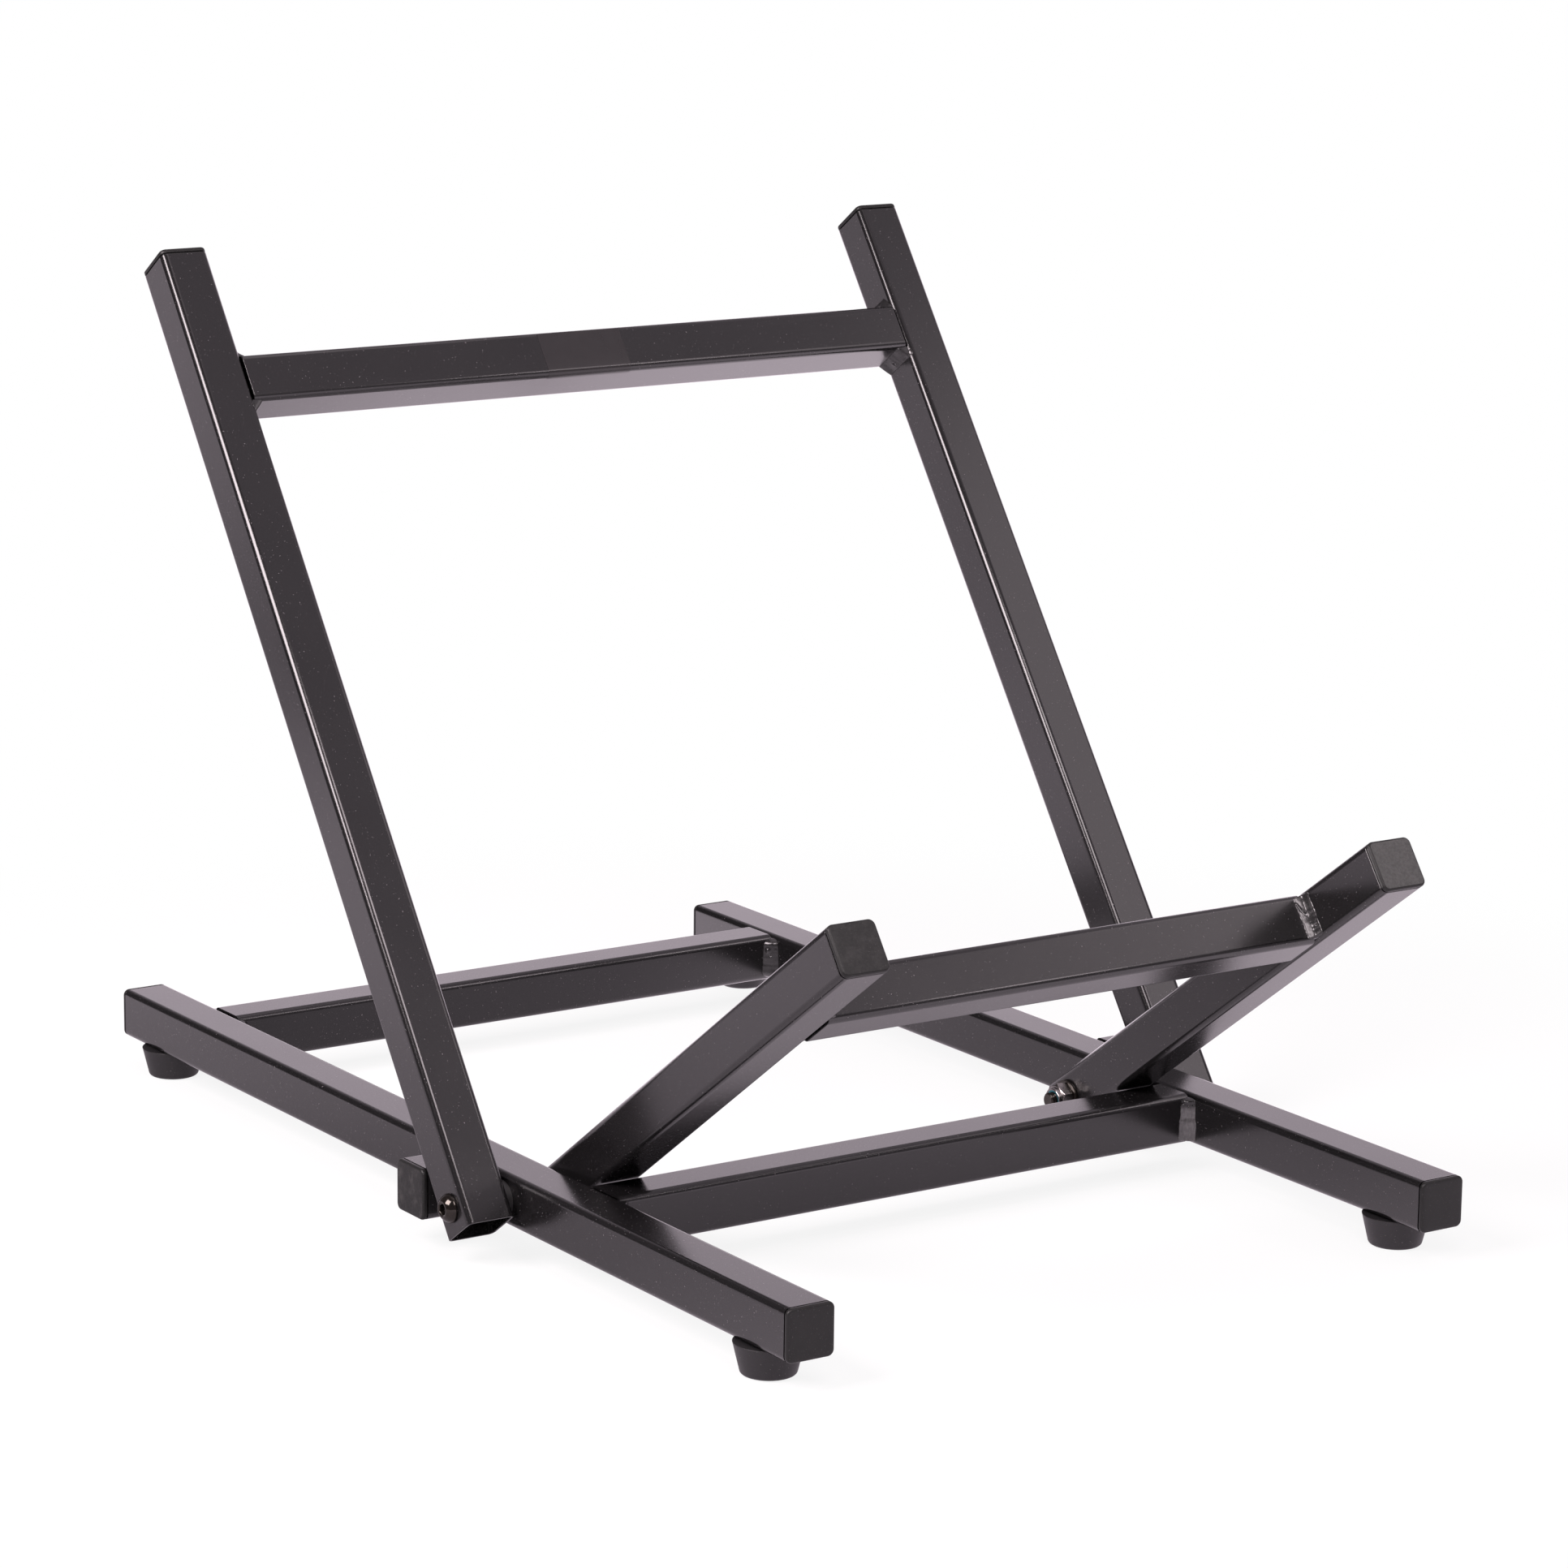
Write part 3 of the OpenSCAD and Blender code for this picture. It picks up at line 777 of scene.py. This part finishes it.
def add_bead(bm, corner, welds):
    """One bead, skinned from the sections along its run."""
    run = welds.reach - corner.start
    steps = max(8, round(run / welds.step))
    rings = []
    for step in range(steps + 1):
        along = corner.start + run * step / steps
        origin = corner.point + corner.run * along
        section = bead_section(corner, welds, along)
        rings.append([origin + corner.leg_a * a + corner.leg_b * b for a, b in section])
    loft(bm, rings)


def weld_corners(body, tube, wall_x, towards, forms, half_edge, seed):
    """Corners of a tube with the walls at its left and right, two on each side: the near one and the one
    farther along the frame, each with its form. towards is 1 for a tube that leads outwards from its wall.
    The beads of half_edge have half the length, where a folding tube passes."""
    reach = bpy.context.scene.stand.welds.reach
    corners = []
    for name, side in SIDES.items():
        for edge, form in zip((-1, 1), forms):
            point = middle(tube.format(name)) + LONG[body] * edge * HALF
            point.x = side * wall_x
            legs = X_AXIS * side * towards, LONG[body] * edge
            start = 0 if edge == half_edge else -reach
            seed += 1
            marks = MARKS.get((tube, side, edge), [])
            corners.append(Corner(point, *legs, ACROSS[body], start, seed, form, marks))
    return corners


def add_spatter(bm, corner, radius):
    """Metal that ran over the rounded edge beside a weld, in flat drops half sunk in the tube."""
    outward = (corner.leg_a - corner.run).normalized()
    centre = corner.point - corner.leg_a * radius - corner.run * (HALF - radius)
    for away, size in SPATTER:
        spot = centre + outward * radius + corner.leg_b * away
        matrix = place(spot, outward, corner.leg_b) @ Matrix.Diagonal(SPATTER_SHAPE)
        bmesh.ops.create_icosphere(bm, subdivisions=3, radius=size, matrix=matrix)


class STAND_OT_welds(bpy.types.Operator):
    """Beads at the ends of the cross tubes, the crossbars and the stop stubs"""

    bl_idname = "stand.welds"
    bl_label = "Weld beads"

    def execute(self, context):
        welds = context.scene.stand.welds
        leg = welds.leg
        upright, arm = from_middle("left_upright")[0], from_middle("left_arm")[0]
        flat = Form(leg, 0.18 * MM, waves=0.25, streaks=0.15)
        ramped = flat._replace(ramp=5 * MM, tall=1.25)
        wide = Form(leg, 0.25 * MM, widening=0.12)
        domed = Form(leg * 1.15, 0.85 * MM, 0.55, widening=0.1, waves=0.4, streaks=0.5, cap=3.2)
        hollow = Form(leg * 0.84, -1.05 * MM, power=1.25, widening=0.03, waves=0.25, tall=1.32)
        rows = [
            ("front_cross", "base_frame", "front_cross_tube", RAIL_INNER, (wide, wide), 1, 20),
            ("rear_cross", "base_frame", "rear_cross_tube", RAIL_INNER, (domed, domed), 0, 40),
            ("back", "back_rest", "back_crossbar", upright, (flat, ramped), 0, 60),
            ("support", "front_support", "support_crossbar", arm, (hollow, hollow), 0, 80),
            ("stub", "base_frame", "{}_stop_stub", RAIL_OUTER, (flat, flat), -1, 100),
        ]
        for name, body, tube, wall_x, forms, half_edge, seed in rows:
            towards = 1 if name == "stub" else -1
            bm = bmesh.new()
            for corner in weld_corners(body, tube, wall_x, towards, forms, half_edge, seed):
                add_bead(bm, corner, welds)
                if name == "back" and corner.form is flat:
                    add_spatter(bm, corner, context.scene.stand.mouldings.tube_corner)
            piece = name.replace("stub", "stop_stub") + "_beads"
            finish = pale_bead if name == "front_cross" else coated_bead
            add_piece(piece, bm, finish, body, [name + "_welds"], 50)
        return {"FINISHED"}


# ---- Pivot hardware ----


# Radius at the start of a bolt's cone and its slope, half the width of a thread's crest and the width of
# its flank as shares of the pitch, and the run-out
CONE_RADIUS, CONE_SLOPE = 3.3 * MM, 1.3
HALF_CREST, FLANK = 0.08, 0.3
RUN_OUT = 2 * MM


def on_pivot(x, towards):
    """Matrix for a piece round the pivot line, drawn from the plane at x towards the left or right."""
    return place(Vector((x, PIVOT.y, PIVOT.z)), X_AXIS * towards, Y_AXIS)


def thread_outline(hardware, shank, rise):
    """Radius by angle of a right-hand thread at a height above the bolt's end, where it starts as a cone."""
    crest = hardware.thread / 2
    turns = (rise - shank) / hardware.pitch
    depth = hardware.thread_depth * ease((hardware.thread_length - rise) / RUN_OUT)
    cone = CONE_RADIUS + rise * CONE_SLOPE

    def radius(angle):
        phase = (turns - angle / math.tau) % 1
        return min(cone, crest - depth * ease((abs(phase - 0.5) - HALF_CREST) / FLANK))

    return radius


def bolt_outline(hardware, head_width, height, shank):
    """Radii and heights of a pivot bolt's rings, from the end of its thread to the bottom of its socket."""
    outline = [(0.3 * MM, 0.12 * MM - shank), (3.1 * MM, -shank)]
    thread_step, softened = 0.11 * MM, 0.06 * MM
    steps = round(hardware.thread_length / thread_step)
    for step in range(steps + 1):
        rise = hardware.thread_length * step / steps
        outline.append((thread_outline(hardware, shank, rise), rise - shank))
    # Underside, rim and dome of the head
    rim, flat, rim_height = head_width / 2, hardware.head_flat / 2, 0.8 * MM
    outline += [(hardware.thread / 2, 0), (rim - 0.3 * MM, 0), (rim - 0.08 * MM, 0.09 * MM), (rim, 0.3 * MM)]
    arc_z = (height**2 - rim_height**2 + flat**2 - rim**2) / (2 * (height - rim_height))
    dome = math.hypot(rim, rim_height - arc_z)
    dome_steps = 14
    for step in range(dome_steps + 1):
        z = rim_height + (height - softened - rim_height) * math.sin(math.pi / 2 * step / dome_steps)
        outline.append((math.sqrt(dome**2 - (z - arc_z) ** 2), z))
    # Flat, chamfer, hexagon and drilled bottom of the socket
    socket = hexagon(hardware.socket)
    corner = hardware.socket / math.sqrt(3)
    bottom = height - hardware.socket_depth
    outline += [(flat - 0.2 * MM, height), (corner + 0.5 * MM, height)]
    outline += [(corner + 0.34 * MM, height - softened)]
    outline += [(lambda angle: socket(angle) + softened, height - 0.35 * MM)]
    outline += [(socket, height - 0.42 * MM), (socket, bottom)]
    return outline + [(1.9 * MM, bottom - 0.1 * MM), (0.3 * MM, bottom - 0.5 * MM)]


class STAND_OT_bolts(bpy.types.Operator):
    """Pivot bolts with a domed head, a hexagon socket and a cut thread"""

    bl_idname = "stand.bolts"
    bl_label = "Pivot bolts"

    def execute(self, context):
        hardware = context.scene.stand.hardware
        for name, side in SIDES.items():
            node = name + "_pivot_bolt"
            low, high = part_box(node)
            end, top = from_middle(node)
            seat = top - hardware.head_height
            matrix = on_pivot(side * seat, side)
            outline = bolt_outline(hardware, high.z - low.z, top - seat, seat - end)
            bm = lofted([round_ring(radius, z, matrix, ROUND) for radius, z in outline])
            add_piece(name + "_socket_bolt", bm, gloss_black_bolt, "base_frame", [node], 34)
        return {"FINISHED"}


def nut_outline(hardware, height):
    """Radii and heights of a lock nut's rings: turned hexagon, rolled collar, seat of the nylon and bore."""
    flats = hexagon(hardware.nut_width)
    top = hardware.nut_hexagon
    face, chamfer, slope = hardware.nut_width / 2 - 0.25 * MM, 0.9 * MM, 1.6
    depths = [chamfer * step / 8 for step in range(9)]

    def turned(depth):
        return lambda angle: min(flats(angle), face + slope * depth)

    outline = [(turned(depth), depth) for depth in depths]
    outline += [(turned(depth), top - depth) for depth in reversed(depths)]
    collar, bore, roll = hardware.collar / 2, 4.05 * MM, 0.62 * MM
    outline += [(collar + 0.3 * MM, top + 0.02 * MM), (collar + 0.06 * MM, top + 0.12 * MM)]
    outline += [(collar, top + 0.35 * MM)]
    outline += arc((collar - roll, height - roll), roll, 0, 150, 9)
    outline += [(collar - 1.25 * MM, height - 0.75 * MM), (collar - 1.3 * MM, top + 0.3 * MM)]
    return outline + [(bore, top + 0.1 * MM), (bore, 0.4 * MM), (4.4 * MM, 0)]


def washer_section(inner, outer, low, high):
    """Closed half section of a washer with rounded edges."""
    edge = 0.3 * MM
    section = arc((outer - edge, low + edge), edge, -90, 0, 4)
    section += arc((outer - edge, high - edge), edge, 0, 90, 4)
    section += arc((inner + edge, high - edge), edge, 90, 180, 3)
    return section + arc((inner + edge, low + edge), edge, 180, 270, 3)


def insert_section(hardware, height):
    """Closed half section of a nylon ring under the rolled edge of its collar."""
    low, bore = hardware.nut_hexagon + 0.32 * MM, 4.02 * MM
    outer = hardware.collar / 2 - 0.87 * MM
    section = [(bore, low), (outer - 0.5 * MM, low)]
    section += arc((outer - 0.3 * MM, height - 0.72 * MM), 0.3 * MM, 0, 90, 4)
    return section + arc((bore + 0.35 * MM, height - 0.77 * MM), 0.35 * MM, 90, 180, 4)


class STAND_OT_nuts(bpy.types.Operator):
    """Lock nuts with a rolled collar, their blue-green nylon rings and the washers under them"""

    bl_idname = "stand.nuts"
    bl_label = "Lock nuts"

    def execute(self, context):
        hardware = context.scene.stand.hardware
        rings = bmesh.new()
        washers = bmesh.new()
        washer_low, washer_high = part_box("nut_washers")
        wide = (washer_high.z - washer_low.z) / 2
        # Bore radius of a washer, its play beside the arm and how far it stays behind the nut's face
        bore, play, behind = 4.1 * MM, 0.15 * MM, 0.01 * MM
        for name, side in SIDES.items():
            node = name + "_lock_nut"
            end, seat = from_middle(node)
            matrix = on_pivot(side * seat, -side)
            outline = nut_outline(hardware, seat - end)
            bm = lofted([round_ring(radius, z, matrix, FINE) for radius, z in outline], wrap=True)
            add_piece(name + "_turned_nut", bm, dark_turned_steel, "base_frame", [node], 28)
            arm_side = seat - from_middle(name + "_arm")[0] + play
            turn(washers, washer_section(bore, wide, arm_side, -behind), matrix)
            turn(rings, insert_section(hardware, seat - end), matrix)
        add_piece("nylon_inserts", rings, blue_green_nylon, "base_frame", ["nylon_rings"])
        add_piece("inner_washers", washers, gloss_black_bolt, "base_frame", ["nut_washers"])
        return {"FINISHED"}


# ---- Mouldings ----


def plug_rings(matrix, mouldings, head, depth):
    """Rings of an end plug: hollow finned insert, seam, rounded edge and slightly domed face."""
    corner = mouldings.tube_corner
    bore = HALF - mouldings.tube_wall - 0.1 * MM
    bore_corner = corner - mouldings.tube_wall
    core = bore - 1 * MM
    cavity = core - 1.5 * MM
    sections = [(cavity, 0.6 * MM, -0.4 * MM), (cavity, 0.6 * MM, -depth)]
    insert = [(core - 0.4 * MM, -depth), (core, 0.5 * MM - depth)]
    fin_pitch, fin_width, slope = 3.2 * MM, 0.9 * MM, 0.3 * MM
    for fin in (4, 3, 2, 1):
        low, high = -fin_pitch * fin - fin_width, -fin_pitch * fin
        insert += [(core, low), (bore, low + slope), (bore, high - slope), (core, high)]
    insert.append((core, CLEAR))
    sections += [(half, bore_corner, z) for half, z in insert]
    seam, edge, dome = mouldings.plug_seam, mouldings.plug_edge, mouldings.plug_dome
    side, shoulder = HALF - CLEAR, head - dome
    groove, lip = 0.6 * MM, 0.3 * MM
    outline = [(side - seam, CLEAR), (side - seam, groove)]
    outline += arc((side - lip, groove + lip), lip, -90, 0, 4)
    outline += arc((side - edge, shoulder - edge), edge, 0, 90, 8)
    sections += [(half, corner - side + half, z) for half, z in outline]
    border, face_corner = side - edge, corner - edge
    sections.append((border - 0.5 * MM, face_corner - 0.2 * MM, shoulder + dome * 0.4))
    sections.append((border - 1.6 * MM, face_corner - 0.5 * MM, head - 0.03 * MM))
    sections.append((border * 0.4, face_corner * 0.4, head))
    return [square_ring(half, radius, z, matrix) for half, radius, z in sections]


class STAND_OT_plugs(bpy.types.Operator):
    """Moulded plugs in the open ends of the rails, stubs, uprights and arms"""

    bl_idname = "stand.plugs"
    bl_label = "End plugs"

    def execute(self, context):
        mouldings = context.scene.stand.mouldings
        for name, side in SIDES.items():
            wear = worn_plug if side < 0 else dusty_plug
            rail = name + "_rail"
            rows = [
                (name + "_upright_plug", name + "_upright", "back_rest", UP_REST, moulded_plug),
                (name + "_arm_plug", name + "_arm", "front_support", UP_ARM, wear),
                ("front_" + rail + "_plug", rail, "base_frame", -Y_AXIS, moulded_plug),
                ("rear_" + rail + "_plug", rail, "base_frame", Y_AXIS, moulded_plug),
                (name + "_stub_plug", name + "_stop_stub", "base_frame", X_AXIS * side, scuffed_plug),
            ]
            for row in rows:
                self.add_plug(mouldings, *row)
        return {"FINISHED"}

    def add_plug(self, mouldings, node, tube, body, axis, finish):
        """One plug on the end of a tube that points along axis."""
        tube_end = span(tube, axis)[1]
        inner, outer = span(node, axis)
        centre = middle(tube)
        seat = centre + axis * (tube_end - centre.dot(axis))
        side = Z_AXIS if abs(axis.x) > 0.5 else X_AXIS
        bm = lofted(plug_rings(place(seat, axis, side), mouldings, outer - tube_end, tube_end - inner))
        add_piece(node + "_moulded", bm, finish, body, [node], 40)


def foot_section(mouldings, radius, height):
    """Closed half section of a foot: recess, rounded lower edge, taper and flat top."""
    base, edge = mouldings.foot_base / 2, mouldings.foot_edge
    flare = radius - base
    flank = math.hypot(flare, height)
    centre = base - edge * (flank - flare) / height
    lean = math.degrees(math.atan2(flare, height))
    bore, recess, recess_top, lip = 2.5 * MM, 5.5 * MM, 6 * MM, 0.3 * MM
    section = [(bore, recess_top), (recess, recess_top), (recess, 0.5 * MM), (6 * MM, 0)]
    section += arc((centre, edge), edge, -90, -lean, 9)
    for drop in (9 * MM, 1.2 * MM):
        section.append((radius - drop * flare / height, height - drop))
    section += arc((radius - lip - CLEAR, height - lip), lip, -lean, 90, 6)
    section += [(radius - 1.5 * MM, height), (6.3 * MM, height - 0.3 * MM), (6 * MM, height)]
    return section + [(bore, height)]


class STAND_OT_feet(bpy.types.Operator):
    """Tapered rubber feet with a flat top and a screw recess"""

    bl_idname = "stand.feet"
    bl_label = "Rubber feet"

    def execute(self, context):
        mouldings = context.scene.stand.mouldings
        for end in ("front", "rear"):
            for side in SIDES:
                node = end + "_" + side + "_foot"
                low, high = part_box(node)
                centre = (low + high) / 2
                matrix = place(Vector((centre.x, centre.y, low.z)), Z_AXIS, X_AXIS)
                bm = bmesh.new()
                turn(bm, foot_section(mouldings, (high.x - low.x) / 2, high.z - low.z), matrix, FINE)
                add_piece(node + "_rubber", bm, dull_rubber, "base_frame", [node], 40)
        return {"FINISHED"}


class STAND_OT_film(bpy.types.Operator):
    """Blank film on the front of the back crossbar, turned under its lower edge"""

    bl_idname = "stand.film"
    bl_label = "Blank film"

    def execute(self, context):
        mouldings = context.scene.stand.mouldings
        centre = middle("back_crossbar")
        up, front = UP_REST, -ACROSS["back_rest"]
        corner = mouldings.tube_corner
        below_edge, turned_under = 1.6 * MM, 4.3 * MM
        # Path over the tube's front, round its lower edge and under it, as (front, up) pairs
        path = [(HALF, HALF - below_edge), (HALF, 0), (HALF, corner - HALF)]
        path += arc((HALF - corner, corner - HALF), corner, 0, -90, 6)[1:]
        path.append((HALF - turned_under, -HALF))
        section = self.raised(path, mouldings.film_thickness) + path[::-1]
        inset = 0.2 * MM
        left, right = -mouldings.film_left, mouldings.film_right
        rings = []
        for x in (left, left + inset, right - inset, right):
            origin = Vector((x, centre.y, centre.z))
            rings.append([origin + front * v + up * u for v, u in section])
        add_piece("blank_film", lofted(rings), blank_film, "back_rest", crease=50)
        return {"FINISHED"}

    def raised(self, path, thickness):
        """The path moved out from the tube."""
        points = []
        for (v, u), before, after in zip(path, path[:1] + path, path[1:] + path[-1:]):
            run = Vector((after[0] - before[0], after[1] - before[1])).normalized()
            points.append((v - run.y * thickness, u + run.x * thickness))
        return points


# ---- Studio ----

WHITE = (1, 1, 1, 1)
FLOOR_WHITE = (0.92, 0.92, 0.92, 1)
FLOOR_RADIUS, FLOOR_DROP = 7, 0.2 * MM
# Place, width and height of the soft box behind each brightness
SOFT_BOXES = {
    "key": ((-1.34, -0.08, 1.18), 0.9, 0.8),
    "front": ((-0.34, -0.96, 1.12), 0.55, 0.6),
    "fill": ((1.43, -0.76, 1.38), 1.0, 0.7),
    "strip": ((2.6, -3.28, 2.92), 1.1, 0.5),
    "top": ((0.2, 0.2, 2.6), 1.6, 1.6),
}
STAND_MIDDLE = Vector((0, 0, 0.2))


def studio_light(recipe, studio):
    """Brightness of the studio by direction: a white wall behind, a dim room at the left and in front."""
    x, y, z = recipe.parts(recipe.coordinates("Generated"))
    right = recipe.band(x, -0.2, 0.35)
    wall = right * recipe.band(y, 0, 0.35) * (1 - recipe.band(z, 0.2, 0.5))
    high = right * (1 + recipe.band(z, 0.4, 0.7))
    return studio.room + high * studio.ceiling + wall * studio.wall


def make_world(studio):
    """White to the camera and through glass; the lit studio to all else."""
    world = bpy.data.worlds.new("studio")
    recipe = Recipe(world)
    camera, through = recipe.rays("Is Camera Ray", "Is Transmission Ray")
    tinted = recipe.scaled(studio.light, studio_light(recipe, studio))
    background = recipe.blend(camera.larger(through), tinted, WHITE)
    shader = recipe.node("ShaderNodeBackground", None, {"Color": background, "Strength": 1.0})
    recipe.node("ShaderNodeOutputWorld", None, {"Surface": shader})
    bpy.context.scene.world = world


def floor_glow(recipe, studio, spot, reach):
    """Tinted brightness of the floor in reflections, by the spot on it and its distance from the stand."""
    x, y = recipe.parts(spot)[:2]
    right = recipe.band(x - 1.2 * y.smaller(-0.1), -0.2, 0.4)
    sweep = recipe.band(x, -0.3, 0.2) * recipe.band(x + y, 0.2, 0.5)
    inside = 1 - recipe.band(reach, 0.18, 0.36)
    edge = recipe.band(reach, 0.9, 1.7) * (1 - recipe.band(x + 0.62 * reach, 0, 0.3))
    open_floor = studio.floor_left + recipe.band(reach, 0.3, 0.7) * 0.3
    glowing = (open_floor + right * studio.floor_right + sweep * studio.floor_sweep) * (1 - 0.9 * edge)
    return recipe.scaled(studio.light, glowing * (1 - inside * studio.floor_shade))


def make_floor(studio):
    """Pale floor, white to the camera and bright in reflections; it keeps a soft shadow near the stand."""
    bm = bmesh.new()
    below = Matrix.Translation((0, 0, -FLOOR_DROP))
    bmesh.ops.create_circle(bm, cap_ends=True, segments=96, radius=FLOOR_RADIUS, matrix=below)
    mesh = mesh_of("studio_floor", bm)
    material = bpy.data.materials.new("pale_floor")
    recipe = Recipe(material)
    camera, glossy, through = recipe.rays("Is Camera Ray", "Is Glossy Ray", "Is Transmission Ray")
    spot = recipe.coordinates()
    reach = recipe.vectors("LENGTH", {0: spot}, "Value")
    glow_colour = recipe.blend(glossy, WHITE, floor_glow(recipe, studio, spot, reach))
    glow = recipe.node("ShaderNodeEmission", None, {"Color": glow_colour, "Strength": 1.0})
    matte = recipe.node("ShaderNodeBsdfDiffuse", None, {"Color": FLOOR_WHITE})
    white = camera * (1 - studio.shadow * (1 - recipe.band(reach, 0.4, 0.75)))
    factor = white.larger(glossy).larger(through)
    mixed = recipe.node("ShaderNodeMixShader", None, {0: factor, 1: matte, 2: glow})
    recipe.node("ShaderNodeOutputMaterial", None, {"Surface": mixed})
    mesh.materials.append(material)
    add_object("studio_floor", mesh)


def add_soft_box(name, location, width, height, brightness, tint):
    """Rectangular lamp of that brightness, turned towards the middle of the stand."""
    lamp = bpy.data.lights.new(name, "AREA")
    lamp.shape = "RECTANGLE"
    lamp.size = width
    lamp.size_y = height
    lamp.energy = brightness * math.pi * width * height
    lamp.color = tint
    holder = add_object(name, lamp)
    holder.location = location
    holder.rotation_mode = "QUATERNION"
    holder.rotation_quaternion = (Vector(location) - STAND_MIDDLE).to_track_quat("Z", "Y")
    holder.visible_camera = False


def make_camera(studio):
    """Camera that sees the stand as the photograph does."""
    data = bpy.data.cameras.new("camera")
    data.lens = studio.lens
    data.sensor_width = 36
    data.clip_start = 0.05
    data.clip_end = 40
    camera = add_object("camera", data)
    turn_z, tilt, roll = studio.aim
    turned = Matrix.Rotation(turn_z, 4, "Z") @ Matrix.Rotation(math.pi / 2 + tilt, 4, "X")
    camera.matrix_world = Matrix.Translation(studio.eye) @ turned @ Matrix.Rotation(roll, 4, "Z")
    bpy.context.scene.camera = camera


class STAND_OT_studio(bpy.types.Operator):
    """White floor and walls, soft boxes and the camera"""

    bl_idname = "stand.studio"
    bl_label = "Studio"

    def execute(self, context):
        studio = context.scene.stand.studio
        context.scene.view_settings.view_transform = "Standard"
        make_world(studio)
        make_floor(studio)
        for name, (location, width, height) in SOFT_BOXES.items():
            add_soft_box(name + "_lamp", location, width, height, getattr(studio, name), studio.lamp)
        make_camera(studio)
        return {"FINISHED"}


# ---- Add-on ----


STEPS = (STAND_OT_coats, STAND_OT_welds, STAND_OT_bolts, STAND_OT_nuts)
STEPS += (STAND_OT_plugs, STAND_OT_feet, STAND_OT_film, STAND_OT_studio)


class STAND_PT_panel(bpy.types.Panel):
    """The pieces of the stand and the settings behind them"""

    bl_label = "Folding Amp Stand"
    bl_idname = "STAND_PT_panel"
    bl_space_type = "VIEW_3D"
    bl_region_type = "UI"
    bl_category = "Amp Stand"

    def draw(self, context):
        for step in STEPS:
            self.layout.operator(step.bl_idname)
        stand = context.scene.stand
        for settings in (stand.colours, stand.welds, stand.hardware, stand.mouldings, stand.studio):
            box = self.layout.box()
            for name in settings.__annotations__:
                box.prop(settings, name)


GROUPS = (STAND_PG_colours, STAND_PG_welds, STAND_PG_hardware, STAND_PG_mouldings, STAND_PG_studio)
CLASSES = GROUPS + (STAND_PG_settings,) + STEPS + (STAND_PT_panel,)


def register():
    for entry in CLASSES:
        bpy.utils.register_class(entry)
    bpy.types.Scene.stand = group(STAND_PG_settings, "Stand")


def unregister():
    del bpy.types.Scene.stand
    for entry in reversed(CLASSES):
        bpy.utils.unregister_class(entry)


def main():
    register()
    bpy.ops.stand.coats()
    bpy.ops.stand.welds()
    bpy.ops.stand.bolts()
    bpy.ops.stand.nuts()
    bpy.ops.stand.plugs()
    bpy.ops.stand.feet()
    bpy.ops.stand.film()
    bpy.ops.stand.studio()


if __name__ == "__main__":
    main()
